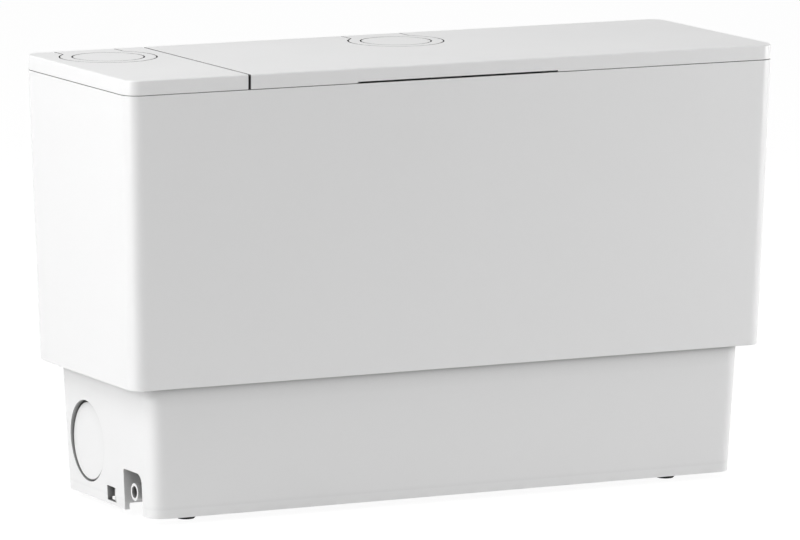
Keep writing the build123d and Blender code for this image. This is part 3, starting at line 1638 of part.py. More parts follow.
# Motor housing: a can that hangs in the well by its top flange
flange_top = cover_top + motor_flange
housing_hole = shaft_radius + housing_hole_gap
pocket_radius = bearing_radius + bearing_pocket_wall
can_floor_top = motor_bottom + motor_wall
motor_screw_places = ring_places((motor_x, 0), motor_screw_circle, motor_screw_angles)
with BuildPart() as motor_housing:
    turned(
        (motor_x, 0),
        [
            (housing_hole, motor_bottom),
            (motor_radius - can_edge, motor_bottom),
            (motor_radius, motor_bottom + can_edge),
            (motor_radius, cover_top),
            (motor_flange_radius, cover_top),
            (motor_flange_radius, flange_top),
            (motor_inner, flange_top),
            (motor_inner, can_floor_top),
            (pocket_radius, can_floor_top),
            (pocket_radius, lower_bearing_top),
            (bearing_radius, lower_bearing_top),
            (bearing_radius, can_floor_top),
            (housing_hole, can_floor_top),
        ],
    )
    drill(motor_screw_places, cover_top - 1, flange_top + 1, screw_hole_radius)
motor_housing.part.label = "motor_housing"
export_step(motor_housing.part, "parts/motor_housing.step")

# Motor end cover: a ribbed cap that holds the upper bearing
cap_outer = motor_radius - can_edge
cap_under = motor_top - cap_thickness
upper_bearing_low = motor_top - upper_bearing_setback - bearing_width
lead_z = flange_top + lead_lift
lead_start_x = motor_x - motor_radius - lead_boss_reach
with BuildPart() as motor_end_cover:
    turned(
        (motor_x, 0),
        [
            (cap_outer, flange_top),
            (motor_radius + 1, flange_top),
            (motor_radius, motor_top - cap_edge),
            (motor_radius - cap_edge, motor_top),
            (0, motor_top),
            (0, cap_under),
            (bearing_radius, cap_under),
            (bearing_radius, upper_bearing_low),
            (pocket_radius, upper_bearing_low),
            (pocket_radius, cap_under),
            (cap_outer - cap_thickness, cap_under),
            (cap_outer, cap_under - cap_thickness),
        ],
    )
    with BuildSketch(Plane.XY.offset(motor_top - fin_bed)) as fins:
        with Locations((motor_x, 0)):
            with PolarLocations(0, fin_count):
                with Locations((motor_radius - fin_inset, 0)):
                    Rectangle(fin_length, fin_thickness)
            Circle(fin_hub_radius)
    extrude(fins.sketch, amount=fin_bed + fin_height)
    bar(
        (motor_x - motor_radius + 4, lead_y, lead_z),
        (lead_start_x, lead_y, lead_z),
        2 * lead_radius,
    )
motor_end_cover.part.label = "motor_end_cover"
export_step(motor_end_cover.part, "parts/motor_end_cover.step")

# Screws that hold the motor's flange on the cover
with BuildPart() as motor_screws:
    for place in motor_screw_places:
        pan_head_screw(place, flange_top, motor_flange - 4 * slip_gap)
motor_screws.part.label = "motor_screws"
export_step(motor_screws.part, "parts/motor_screws.step")


def ball_bearing(low_z):
    """Shielded bearing drawn as one ring, with a groove where its two rings part."""
    high_z = low_z + bearing_width
    bore = shaft_radius + running_gap
    inner_ring = shaft_radius + bearing_ring
    outer_ring = bearing_radius - bearing_ring
    turned(
        (motor_x, 0),
        [
            (bore, low_z),
            (inner_ring, low_z),
            (inner_ring, low_z + bearing_groove),
            (outer_ring, low_z + bearing_groove),
            (outer_ring, low_z),
            (bearing_radius, low_z),
            (bearing_radius, high_z),
            (outer_ring, high_z),
            (outer_ring, high_z - bearing_groove),
            (inner_ring, high_z - bearing_groove),
            (inner_ring, high_z),
            (bore, high_z),
        ],
    )


with BuildPart() as lower_bearing:
    ball_bearing(can_floor_top)
lower_bearing.part.label = "lower_bearing"
export_step(lower_bearing.part, "parts/lower_bearing.step")

with BuildPart() as upper_bearing:
    ball_bearing(upper_bearing_low)
upper_bearing.part.label = "upper_bearing"
export_step(upper_bearing.part, "parts/upper_bearing.step")

# Seal in the well's floor, where the shaft passes into the tank
seal_low = well_underside - seal_height
seal_shelf = seal_low + seal_base
seal_lip_top = seal_shelf + seal_lip_height
with BuildPart() as shaft_seal:
    turned(
        (motor_x, 0),
        [
            (shaft_radius + running_gap, seal_low),
            (seal_radius, seal_low),
            (seal_radius, well_floor_top),
            (seal_radius - seal_wall, well_floor_top),
            (seal_radius - seal_wall, seal_shelf),
            (shaft_radius + seal_wall, seal_shelf),
            (shaft_radius + seal_wall, seal_lip_top),
            (shaft_radius + running_gap, seal_lip_top),
        ],
    )
shaft_seal.part.label = "shaft_seal"
export_step(shaft_seal.part, "parts/shaft_seal.step")

# Pressure bell: a tube open at the bottom that traps air as the tank fills
bell_bottom = floor_top + bell_clearance
bell_top = cover_top + bell_cap
bell_under = cover_top - 1
nipple_top = bell_top + nipple_height
with BuildPart() as pressure_bell:
    turned(
        (bell_x, bell_y),
        [
            (bell_radius - bell_wall, bell_bottom),
            (bell_radius, bell_bottom),
            (bell_radius, cover_top),
            (bell_flange_radius, cover_top),
            (bell_flange_radius, bell_top),
            (nipple_radius + 2, bell_top),
            (nipple_radius, bell_top + nipple_height / 2),
            (nipple_radius, nipple_top),
            (nipple_radius - nipple_wall, nipple_top),
            (nipple_radius - nipple_wall, bell_under),
            (bell_radius - bell_wall, bell_under),
        ],
    )
pressure_bell.part.label = "pressure_bell"
export_step(pressure_bell.part, "parts/pressure_bell.step")

# Level switch: a flat round pressure switch on a foot, with three terminals
hose_z = cover_top + hose_height
nipple_end_x = switch_x - switch_radius - switch_nipple_length
switch_cap_z = cover_top + switch_height
switch_top = switch_cap_z + switch_dome
with BuildPart() as level_switch:
    turned(
        (switch_x, bell_y),
        [
            (0, cover_top),
            (switch_foot_radius, cover_top),
            (switch_foot_radius, cover_top + switch_foot_height),
            (switch_radius, cover_top + switch_foot_height + 3),
            (switch_radius, switch_cap_z),
            (switch_radius - 2, switch_cap_z + 2),
            (switch_turret_radius + 1, switch_cap_z + 2),
            (switch_turret_radius, switch_top),
            (0, switch_top),
        ],
    )
    bar((switch_x, bell_y, hose_z), (nipple_end_x, bell_y, hose_z), nipple_radius)
    for side in (-1, 0, 1):
        terminal_y = bell_y + side * terminal_pitch
        slab(
            (switch_x - terminal_width / 2, switch_x + terminal_width / 2),
            (terminal_y - terminal_thickness / 2, terminal_y + terminal_thickness / 2),
            (switch_top - 1, switch_top + terminal_height),
        )
level_switch.part.label = "level_switch"
export_step(level_switch.part, "parts/level_switch.step")

# Hose from the bell to the level switch
hose_route = [
    (bell_x, bell_y, bell_top + nipple_height / 2 + 2 * slip_gap),
    (bell_x, bell_y, hose_z),
    (nipple_end_x + hose_grip, bell_y, hose_z),
]
with BuildPart() as sensing_hose:
    with BuildLine() as hose_line:
        FilletPolyline(*hose_route, radius=hose_bend_radius)
    with BuildSketch(Plane(origin=hose_route[0], z_dir=(0, 0, 1))) as hose_section:
        Circle(hose_radius)
        Circle(nipple_radius + running_gap, mode=Mode.SUBTRACT)
    sweep(hose_section.sketch, path=hose_line.wire())
sensing_hose.part.label = "sensing_hose"
export_step(sensing_hose.part, "parts/sensing_hose.step")

# Charcoal filter of the tank's vent
filter_top = cover_top + filter_height
filter_body_radius = filter_radius - filter_lip
with BuildPart() as carbon_filter:
    turned(
        (filter_x, outlet_y),
        [
            (0, cover_bottom - filter_neck_drop),
            (filter_neck_radius, cover_bottom - filter_neck_drop),
            (filter_neck_radius, cover_top),
            (filter_radius, cover_top),
            (filter_radius, cover_top + filter_lip_height),
            (filter_body_radius, cover_top + filter_lip_height + 1),
            (filter_body_radius, filter_top - 2),
            (filter_body_radius - 2, filter_top),
            (0, filter_top),
        ],
    )
    with BuildSketch(Plane.XY.offset(filter_top - vent_slot_depth)) as vent_slots:
        with Locations((filter_x, outlet_y)):
            with GridLocations(vent_slot_pitch, 1, vent_slot_count, 1):
                SlotCenterToCenter(vent_slot_length, vent_slot_width, rotation=90)
    extrude(vent_slots.sketch, amount=vent_slot_depth + 1, mode=Mode.SUBTRACT)
carbon_filter.part.label = "carbon_filter"
export_step(carbon_filter.part, "parts/carbon_filter.step")

# Control box on the cover, with its lid, board and cable gland
box_floor_top = cover_top + box_wall
box_top = cover_top + box_height
box_mid = (sum(box_x) / 2, sum(box_y) / 2)
box_size = (box_x[1] - box_x[0], box_y[1] - box_y[0])
box_post_reach = (box_size[0] / 2 - box_post_inset, box_size[1] / 2 - box_post_inset)
box_post_places = [
    (box_mid[0] + side * box_post_reach[0], box_mid[1] + end * box_post_reach[1])
    for side in (-1, 1)
    for end in (-1, 1)
]
box_screw_hole = screw_hole_radius * box_screw_size
gland_z = cover_top + gland_lift
gland_neck_radius = gland_radius - gland_neck_step
with BuildPart() as control_box:
    with BuildSketch(Plane.XY.offset(cover_top)) as box_outline:
        with Locations(box_mid):
            RectangleRounded(box_size[0], box_size[1], box_corner)
    extrude(box_outline.sketch, amount=box_height)
    with BuildSketch(Plane.XY.offset(box_floor_top)) as box_hollow:
        with Locations(box_mid):
            RectangleRounded(box_size[0] - 2 * box_wall, box_size[1] - 2 * box_wall, box_corner - 2)
    extrude(box_hollow.sketch, amount=box_height, mode=Mode.SUBTRACT)
    drill(box_post_places, box_floor_top - box_wall / 5, box_top, box_post_radius, Mode.ADD)
    drill(box_post_places, box_top - box_screw_length - 1, box_top + 1, box_screw_hole)
    bar(
        (gland_x, box_y[1] - 2 * box_wall, gland_z),
        (gland_x, box_y[1] + 1, gland_z),
        gland_neck_radius,
        Mode.SUBTRACT,
    )
    bar(
        (box_x[1] - 2 * box_wall, lead_y, lead_z),
        (box_x[1] + 1, lead_y, lead_z),
        lead_radius + slip_gap,
        Mode.SUBTRACT,
    )
control_box.part.label = "control_box"
export_step(control_box.part, "parts/control_box.step")

with BuildPart() as control_box_lid:
    with BuildSketch(Plane.XY.offset(box_top)) as box_lid_outline:
        with Locations(box_mid):
            RectangleRounded(box_size[0], box_size[1], box_corner)
    extrude(box_lid_outline.sketch, amount=box_lid)
    chamfer(control_box_lid.edges().group_by(Axis.Z)[-1], box_lid_edge)
    drill(box_post_places, box_top - 1, box_top + box_lid + 1, box_screw_hole + slip_gap)
control_box_lid.part.label = "control_box_lid"
export_step(control_box_lid.part, "parts/control_box_lid.step")

with BuildPart() as control_box_screws:
    for place in box_post_places:
        pan_head_screw(place, box_top + box_lid, box_screw_length, box_screw_size - 0.05)
control_box_screws.part.label = "control_box_screws"
export_step(control_box_screws.part, "parts/control_box_screws.step")

board_z = box_floor_top + board_lift
board_size = (box_size[0] - 2 * (box_wall + board_end_gap), box_size[1] - 2 * (box_wall + board_side_gap))
with BuildPart() as circuit_board:
    with BuildSketch(Plane.XY.offset(board_z)) as board_outline:
        with Locations(box_mid):
            Rectangle(*board_size)
    extrude(board_outline.sketch, amount=board_thickness)
    spacer_places = [
        (box_mid[0] + side * board_spacer_reach[0], box_mid[1] + end * board_spacer_reach[1])
        for side in (-1, 1)
        for end in (-1, 1)
    ]
    drill(spacer_places, box_floor_top, board_z, board_spacer_radius, Mode.ADD)
    # transformer, relay and a row of terminals
    for part_x, part_y, part_height in board_parts:
        slab(
            (box_mid[0] + part_x[0], box_mid[0] + part_x[1]),
            (box_mid[1] + part_y[0], box_mid[1] + part_y[1]),
            (board_z + 1, board_z + 1 + part_height),
        )
circuit_board.part.label = "circuit_board"
export_step(circuit_board.part, "parts/circuit_board.step")

# Gland where the mains lead would enter the box
gland_nut_y = box_y[1] + gland_hex_length - 1
gland_end_y = gland_nut_y + gland_nut_length
gland_inner_y = box_y[1] - box_wall - gland_thread
gland_plane = Plane(origin=(gland_x, box_y[1], gland_z), x_dir=(1, 0, 0), z_dir=(0, 1, 0))
with BuildPart() as cable_gland:
    with BuildSketch(gland_plane) as gland_hex:
        RegularPolygon(gland_hex_radius, 6)
    extrude(gland_hex.sketch, amount=gland_hex_length)
    bar(
        (gland_x, gland_inner_y, gland_z),
        (gland_x, box_y[1] + 1, gland_z),
        gland_neck_radius - slip_gap,
    )
    bar((gland_x, gland_nut_y, gland_z), (gland_x, gland_end_y, gland_z), gland_radius)
    chamfer(cable_gland.edges().group_by(Axis.Y)[-1], gland_edge)
    bar(
        (gland_x, gland_inner_y - 1, gland_z),
        (gland_x, gland_end_y + 1, gland_z),
        gland_bore_radius,
        Mode.SUBTRACT,
    )
cable_gland.part.label = "cable_gland"
export_step(cable_gland.part, "parts/cable_gland.step")

# Motor capacitor lying in its cradle
capacitor_z = cover_top + capacitor_lift + capacitor_radius
capacitor_start = (capacitor_x[0], capacitor_y, capacitor_z)
capacitor_end = (capacitor_x[1], capacitor_y, capacitor_z)
with BuildPart() as capacitor:
    bar(capacitor_start, capacitor_end, capacitor_radius)
    fillet(capacitor.edges(), capacitor_edge)
    bar(
        (capacitor_x[0] - capacitor_cap, capacitor_y, capacitor_z),
        (capacitor_x[0] + 1, capacitor_y, capacitor_z),
        capacitor_cap_radius,
    )
    for side in (-1, 1):
        tag_y = capacitor_y + side * capacitor_tag_offset
        slab(
            (capacitor_x[0] - capacitor_cap - capacitor_tag_length, capacitor_x[0] - capacitor_cap + 1),
            (tag_y - terminal_thickness / 2, tag_y + terminal_thickness / 2),
            (capacitor_z - terminal_width / 2, capacitor_z + terminal_width / 2),
        )
capacitor.part.label = "capacitor"
export_step(capacitor.part, "parts/capacitor.step")

saddle_xs = (capacitor_x[0] + saddle_inset, capacitor_x[1] - saddle_inset)
saddle_reach = capacitor_radius + saddle_wall
with BuildPart() as capacitor_cradle:
    for saddle_x in saddle_xs:
        slab(
            (saddle_x - saddle_width / 2, saddle_x + saddle_width / 2),
            (capacitor_y - saddle_reach, capacitor_y + saddle_reach),
            (cover_top, capacitor_z + saddle_rise),
        )
    slab(
        saddle_xs,
        (capacitor_y - saddle_width, capacitor_y + saddle_width),
        (cover_top, cover_top + saddle_base),
    )
    bar(capacitor_start, capacitor_end, capacitor_radius + running_gap, Mode.SUBTRACT)
    slab(
        capacitor_x,
        (capacitor_y - capacitor_radius + saddle_wall, capacitor_y + capacitor_radius - saddle_wall),
        (capacitor_z, capacitor_z + capacitor_radius + saddle_rise),
        Mode.SUBTRACT,
    )
capacitor_cradle.part.label = "capacitor_cradle"
export_step(capacitor_cradle.part, "parts/capacitor_cradle.step")

# Motor lead inside the unit, from the end cover down to the tank cover and up to the control box
lead_low_z = cover_top + lead_radius + 1
lead_route = [
    (lead_start_x, lead_y, lead_z),
    (lead_start_x - lead_straight, lead_y, lead_z),
    (lead_start_x - lead_straight - lead_drop_run, lead_y, lead_low_z),
    (box_x[1] + lead_straight + lead_drop_run, lead_y, lead_low_z),
    (box_x[1] + lead_straight, lead_y, lead_z),
    (box_x[1] - box_wall, lead_y, lead_z),
]
with BuildPart() as motor_lead:
    with BuildLine() as lead_line:
        FilletPolyline(*lead_route, radius=lead_bend_radius)
    with BuildSketch(Plane(origin=lead_route[0], z_dir=(-1, 0, 0))) as lead_section:
        Circle(lead_radius)
    sweep(lead_section.sketch, path=lead_line.wire())
motor_lead.part.label = "motor_lead"
export_step(motor_lead.part, "parts/motor_lead.step")
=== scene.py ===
"""Looks for a compact sewage lifting unit that stands beside a toilet.

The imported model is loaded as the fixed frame. Everything is in metres, with the origin on the
floor under the middle of the unit, +X to the right, +Z up and the front facing -Y.
"""

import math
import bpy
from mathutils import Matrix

bl_info = {
    "name": "Sewage lifting unit",
    "version": (1, 0, 0),
    "blender": (4, 5, 0),
    "location": "3D View > Sidebar > Lifting unit",
    "description": "Finishes the pieces of a sewage lifting unit and sets its stage",
    "category": "Object",
}

import bpy
from bpy.props import FloatProperty, FloatVectorProperty, PointerProperty
from mathutils import Matrix, Vector

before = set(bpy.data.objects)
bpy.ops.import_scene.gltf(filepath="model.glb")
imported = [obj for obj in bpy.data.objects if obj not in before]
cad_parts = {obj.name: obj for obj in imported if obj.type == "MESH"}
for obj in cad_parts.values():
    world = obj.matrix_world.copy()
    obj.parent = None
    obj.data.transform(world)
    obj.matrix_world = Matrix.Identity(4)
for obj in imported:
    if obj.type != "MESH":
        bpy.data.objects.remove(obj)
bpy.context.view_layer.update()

MM = 0.001


def linear(hex_colour):
    """Turn an sRGB hex value into linear red, green and blue."""
    channels = [int(hex_colour[i:i + 2], 16) / 255 for i in (0, 2, 4)]
    return [c / 12.92 if c <= 0.04045 else ((c + 0.055) / 1.055) ** 2.4 for c in channels]


def bands(pitch):
    """A wave texture's scale for bands this far apart: it draws 20 of them over two pi."""
    return 2 * math.pi / 20 / pitch


def add_node(owner, kind, settings=None, links=None, feeds=None):
    """Add a node with its settings, the sockets that feed it and the inputs that it feeds."""
    tree = owner.node_tree
    node = tree.nodes.new(kind)
    for name, value in (settings or {}).items():
        if isinstance(name, int) or name in node.inputs:
            node.inputs[name].default_value = value
        else:
            setattr(node, name, value)
    for name, socket in (links or {}).items():
        tree.links.new(socket, node.inputs[name])
    for name, (fed_node, fed_input) in (feeds or {}).items():
        tree.links.new(node.outputs[name], fed_node.inputs[fed_input])
    return node


def new_material(name, colour, roughness, metallic=0.0, ior=1.5):
    """Start a material, with the shader values that are the same all over the surface."""
    material = bpy.data.materials.new(name)
    material.use_nodes = True
    material.diffuse_color = (*colour, 1)
    shader = material.node_tree.nodes["Principled BSDF"]
    shader.inputs["Base Color"].default_value = (*colour, 1)
    shader.inputs["Roughness"].default_value = roughness
    shader.inputs["Metallic"].default_value = metallic
    shader.inputs["IOR"].default_value = ior
    return material, shader


def finish(material, *nodes):
    """Give a material to carried-over pieces, in place of what they came with."""
    for name in nodes:
        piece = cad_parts[name]
        piece.data.materials.clear()
        piece.data.materials.append(material)


# Sizes and colours that a user would change


def colour_setting(name, description, hex_colour):
    """A colour setting, given as an sRGB hex value."""
    return FloatVectorProperty(name=name, description=description, subtype="COLOR",
                               default=linear(hex_colour), min=0, max=1)


def distance_setting(name, description, size_mm):
    """A pattern size setting, given in millimetres and kept in metres."""
    return FloatProperty(name=name, description=description, unit="LENGTH",
                         default=size_mm * MM, min=0)


class LiftingUnitFinish(bpy.types.PropertyGroup):
    """Colours and pattern sizes of the unit's finishes."""

    casing_white: colour_setting("Casing white", "Colour of the casing and its lids", "F3F3F3")
    tank_white: colour_setting("Tank white", "Colour of the tank and its stopper", "F1F1F1")
    cover_grey: colour_setting("Cover grey", "Colour of the tank's inner cover", "7F8385")
    pipe_grey: colour_setting("Pipe grey", "Colour of the valve and the discharge pipe", "6E7376")
    box_grey: colour_setting("Box grey", "Colour of the control box", "C4C7C6")
    black_plastic: colour_setting("Black plastic", "Colour of the pump's and switch's plastic", "1B1C1E")
    rubber_black: colour_setting("Rubber black", "Colour of the feet, seals and hoses", "202021")
    steel: colour_setting("Stainless steel", "Colour of the screws, bands, basket and shaft", "C9C7C2")
    aluminium: colour_setting("Aluminium", "Colour of the motor's castings", "B9BCBE")
    grain: distance_setting("Moulding grain", "Size of the fine grain of the moulded faces", 0.7)
    grain_depth: distance_setting("Grain depth", "Depth of the fine grain of the moulded faces", 0.004)
    brush_pitch: distance_setting("Brush pitch", "Distance between the brush lines on steel", 0.35)
    casting_grain: distance_setting("Casting grain", "Size of the skin's grain on castings", 1.1)


class LiftingUnitStage(bpy.types.PropertyGroup):
    """Lamps and backdrop."""

    left_power: FloatProperty(
        name="Left lamp", description="Power of the large lamp that lights the left end",
        unit="POWER", default=61.0, min=0)
    edge_power: FloatProperty(
        name="Edge lamp", description="Power of the low lamp that draws the near edge's highlight",
        unit="POWER", default=10.6, min=0)
    top_left_power: FloatProperty(
        name="Top left lamp", description="Power of the soft lamp over the unit's left end",
        unit="POWER", default=11.0, min=0)
    top_power: FloatProperty(
        name="Top lamp", description="Power of the soft lamp over the unit",
        unit="POWER", default=6.9, min=0)
    right_power: FloatProperty(
        name="Right lamp", description="Power of the low weak lamp at the front right",
        unit="POWER", default=12.9, min=0)
    far_edge_power: FloatProperty(
        name="Far edge lamp", description="Power of the lamp that whitens the right end's near edge",
        unit="POWER", default=3.0, min=0)
    room_light: FloatProperty(
        name="Room light", description="Strength of the even light from all round",
        default=0.16, min=0)
    floor_colour: colour_setting("Floor", "Colour of the floor", "E8E8E8")


# Finishes


def vary_tone(material, shader, colour, pattern, ends, tones):
    """Scale a colour by a pattern: by the first tone at its low end, by the second at its high end."""
    tone = add_node(material, "ShaderNodeMapRange",
                    {"From Min": ends[0], "From Max": ends[1], "To Min": tones[0], "To Max": tones[1]},
                    {"Value": pattern})
    add_node(material, "ShaderNodeVectorMath", {"operation": "SCALE", 0: colour},
             {"Scale": tone.outputs["Result"]}, {"Vector": (shader, "Base Color")})


def paint_hollow_shade(material, shader, colour):
    """Darken a moulding's colour in its gaps, grooves and hollows as painted shade, deeper where less of
    the room is open to it.

    Close to the floor only the piece's own hollows count, because the floor is no hollow's wall.
    """
    look_round = {"samples": 12, "Distance": 14 * MM}
    floor_low, floor_high = 10 * MM, 30 * MM
    hollow = add_node(material, "ShaderNodeAmbientOcclusion", look_round)
    own_hollow = add_node(material, "ShaderNodeAmbientOcclusion", {**look_round, "only_local": True})
    place = add_node(material, "ShaderNodeNewGeometry")
    height = add_node(material, "ShaderNodeSeparateXYZ", None, {"Vector": place.outputs["Position"]})
    low = add_node(material, "ShaderNodeMapRange",
                   {"From Min": floor_low, "From Max": floor_high, "To Min": 1.0, "To Max": 0.0},
                   {"Value": height.outputs["Z"]})
    near_floor = add_node(material, "ShaderNodeMath", {"operation": "MULTIPLY"},
                          {0: own_hollow.outputs["AO"], 1: low.outputs["Result"]})
    open_share = add_node(material, "ShaderNodeMath", {"operation": "MAXIMUM"},
                          {0: hollow.outputs["AO"], 1: near_floor.outputs["Value"]})
    vary_tone(material, shader, colour, open_share.outputs["Value"], ends=(0.25, 0.97), tones=(0.1, 1.0))


def shade_split(material, shader, split_x):
    """Darken the rounded edges on both sides of the lids' split, which shade each other.

    The real line of shade is under a millimetre wide, too fine to show, and is drawn wider.
    """
    dark_half, clean_half = 0.8 * MM, 1.25 * MM
    place = add_node(material, "ShaderNodeTexCoord").outputs["Object"]
    across = add_node(material, "ShaderNodeSeparateXYZ", None, {"Vector": place}).outputs["X"]
    aside = add_node(material, "ShaderNodeMath", {"operation": "SUBTRACT", 1: split_x}, {0: across})
    away = add_node(material, "ShaderNodeMath", {"operation": "ABSOLUTE"}, {0: aside.outputs["Value"]})
    tone = add_node(material, "ShaderNodeMapRange",
                    {"From Min": dark_half, "From Max": clean_half, "To Min": 0.06, "To Max": 1.0},
                    {"Value": away.outputs["Value"]})
    painted = shader.inputs["Base Color"].links[0].from_socket
    add_node(material, "ShaderNodeVectorMath", {"operation": "SCALE"},
             {0: painted, "Scale": tone.outputs["Result"]}, {"Vector": (shader, "Base Color")})


def white_abs(settings, name, split_x=None):
    """White ABS, injection moulded in a finely eroded tool.

    The grain spreads the gloss, so lamps show on it as soft gradients. A real grain of about
    0.1 mm is too fine to show and is drawn coarser.
    """
    flow_width = 60 * MM
    material, shader = new_material(name, settings.casing_white, roughness=0.34, ior=1.53)
    place = add_node(material, "ShaderNodeTexCoord").outputs["Object"]
    grain = add_node(material, "ShaderNodeTexNoise",
                     {"Scale": 1 / settings.grain, "Detail": 3.0, "Roughness": 0.6}, {"Vector": place})
    add_node(material, "ShaderNodeBump", {"Strength": 0.6, "Distance": settings.grain_depth},
             {"Height": grain.outputs["Fac"]}, {"Normal": (shader, "Normal")})
    # the melt's flow changes the gloss slowly over the part
    flow = add_node(material, "ShaderNodeTexNoise", {"Scale": 1 / flow_width, "Detail": 2.0},
                    {"Vector": place})
    add_node(material, "ShaderNodeMapRange",
             {"From Min": 0.3, "From Max": 0.7, "To Min": 0.31, "To Max": 0.37},
             {"Value": flow.outputs["Fac"]}, {"Result": (shader, "Roughness")})
    # painted shade in the gaps, grooves and hollows, and along the lids' split where it is given
    paint_hollow_shade(material, shader, settings.casing_white)
    if split_x is not None:
        shade_split(material, shader, split_x)
    return material


def white_polypropylene(settings):
    """White polypropylene, injection moulded, a little waxier and softer in its gloss than ABS.

    Its grain is a little coarser than the casing's, and is drawn coarser than real in the same way.
    """
    grain_width = 1.25 * settings.grain
    flow_width = 45 * MM
    material, shader = new_material("white_moulded_polypropylene", settings.tank_white,
                                    roughness=0.42, ior=1.49)
    place = add_node(material, "ShaderNodeTexCoord").outputs["Object"]
    grain = add_node(material, "ShaderNodeTexNoise",
                     {"Scale": 1 / grain_width, "Detail": 3.0, "Roughness": 0.6}, {"Vector": place})
    add_node(material, "ShaderNodeBump", {"Strength": 0.7, "Distance": settings.grain_depth},
             {"Height": grain.outputs["Fac"]}, {"Normal": (shader, "Normal")})
    flow = add_node(material, "ShaderNodeTexNoise", {"Scale": 1 / flow_width, "Detail": 2.0},
                    {"Vector": place})
    add_node(material, "ShaderNodeMapRange",
             {"From Min": 0.3, "From Max": 0.7, "To Min": 0.38, "To Max": 0.46},
             {"Value": flow.outputs["Fac"]}, {"Result": (shader, "Roughness")})
    # painted shade in the gaps, grooves and hollows
    paint_hollow_shade(material, shader, settings.tank_white)
    return material


def filled_polypropylene(settings):
    """Grey polypropylene with short glass fibres, whose ends show as fine pale streaks.

    Real fibres are about 0.01 mm thick, too fine to show, and are drawn as wider streaks.
    """
    streak_width = 1.2 * MM
    material, shader = new_material("grey_glass_filled_polypropylene", settings.cover_grey,
                                    roughness=0.5, ior=1.49)
    place = add_node(material, "ShaderNodeTexCoord").outputs["Object"]
    # the melt runs along the unit and turns most fibres that way
    along = add_node(material, "ShaderNodeMapping", {"Scale": (0.25, 1.0, 1.0)}, {"Vector": place})
    fibres = add_node(material, "ShaderNodeTexNoise", {"Scale": 1 / streak_width, "Detail": 3.0},
                      {"Vector": along.outputs["Vector"]})
    vary_tone(material, shader, settings.cover_grey, fibres.outputs["Fac"],
              ends=(0.35, 0.7), tones=(0.93, 1.1))
    add_node(material, "ShaderNodeBump", {"Strength": 0.5, "Distance": 0.01 * MM},
             {"Height": fibres.outputs["Fac"]}, {"Normal": (shader, "Normal")})
    return material


def grey_pvc(settings):
    """Rigid grey PVC as pipe fittings are made of: even, with a dull sheen."""
    cloud_width = 18 * MM
    skin_grain = 2.5 * MM
    material, shader = new_material("grey_moulded_pvc", settings.pipe_grey, roughness=0.4, ior=1.54)
    place = add_node(material, "ShaderNodeTexCoord").outputs["Object"]
    cloud = add_node(material, "ShaderNodeTexNoise", {"Scale": 1 / cloud_width, "Detail": 3.0},
                     {"Vector": place})
    vary_tone(material, shader, settings.pipe_grey, cloud.outputs["Fac"],
              ends=(0.3, 0.7), tones=(0.95, 1.05))
    skin = add_node(material, "ShaderNodeTexNoise", {"Scale": 1 / skin_grain, "Detail": 2.0},
                    {"Vector": place})
    add_node(material, "ShaderNodeBump", {"Strength": 0.4, "Distance": 0.02 * MM},
             {"Height": skin.outputs["Fac"]}, {"Normal": (shader, "Normal")})
    return material


def box_abs(settings):
    """Light grey ABS with a coarse moulded grain, as on electrical boxes.

    The real grain is about 0.3 mm wide, too fine to show, and is drawn coarser.
    """
    grain_width = 0.9 * MM
    material, shader = new_material("light_grey_grained_abs", settings.box_grey,
                                    roughness=0.55, ior=1.53)
    place = add_node(material, "ShaderNodeTexCoord").outputs["Object"]
    grain = add_node(material, "ShaderNodeTexVoronoi", {"Scale": 1 / grain_width}, {"Vector": place})
    add_node(material, "ShaderNodeBump", {"Strength": 0.6, "Distance": 0.03 * MM},
             {"Height": grain.outputs["Distance"]}, {"Normal": (shader, "Normal")})
    return material


def black_polyamide(settings):
    """Black glass-filled polyamide, moulded, with a matt and faintly speckled skin.

    The real speckle is about 0.1 mm wide, too fine to show, and is drawn coarser.
    """
    speckle_width = 0.8 * MM
    material, shader = new_material("black_moulded_polyamide", settings.black_plastic,
                                    roughness=0.48, ior=1.53)
    place = add_node(material, "ShaderNodeTexCoord").outputs["Object"]
    speckle = add_node(material, "ShaderNodeTexNoise", {"Scale": 1 / speckle_width, "Detail": 4.0},
                       {"Vector": place})
    vary_tone(material, shader, settings.black_plastic, speckle.outputs["Fac"],
              ends=(0.35, 0.75), tones=(0.85, 1.5))
    add_node(material, "ShaderNodeBump", {"Strength": 0.6, "Distance": 0.02 * MM},
             {"Height": speckle.outputs["Fac"]}, {"Normal": (shader, "Normal")})
    return material


def epdm_rubber(settings):
    """Black EPDM rubber, moulded: matt, with a dry grey bloom in patches.

    Real pores are under 0.1 mm wide, too fine to show, and are drawn wider.
    """
    bloom_width = 9 * MM
    pore_width = 0.5 * MM
    material, shader = new_material("black_epdm_rubber", settings.rubber_black, roughness=0.78, ior=1.48)
    place = add_node(material, "ShaderNodeTexCoord").outputs["Object"]
    bloom = add_node(material, "ShaderNodeTexNoise",
                     {"Scale": 1 / bloom_width, "Detail": 5.0, "Roughness": 0.65},
                     {"Vector": place})
    vary_tone(material, shader, settings.rubber_black, bloom.outputs["Fac"],
              ends=(0.4, 0.75), tones=(0.9, 1.9))
    pores = add_node(material, "ShaderNodeTexNoise", {"Scale": 1 / pore_width, "Detail": 2.0},
                     {"Vector": place})
    add_node(material, "ShaderNodeBump", {"Strength": 0.7, "Distance": 0.03 * MM},
             {"Height": pores.outputs["Fac"]}, {"Normal": (shader, "Normal")})
    return material


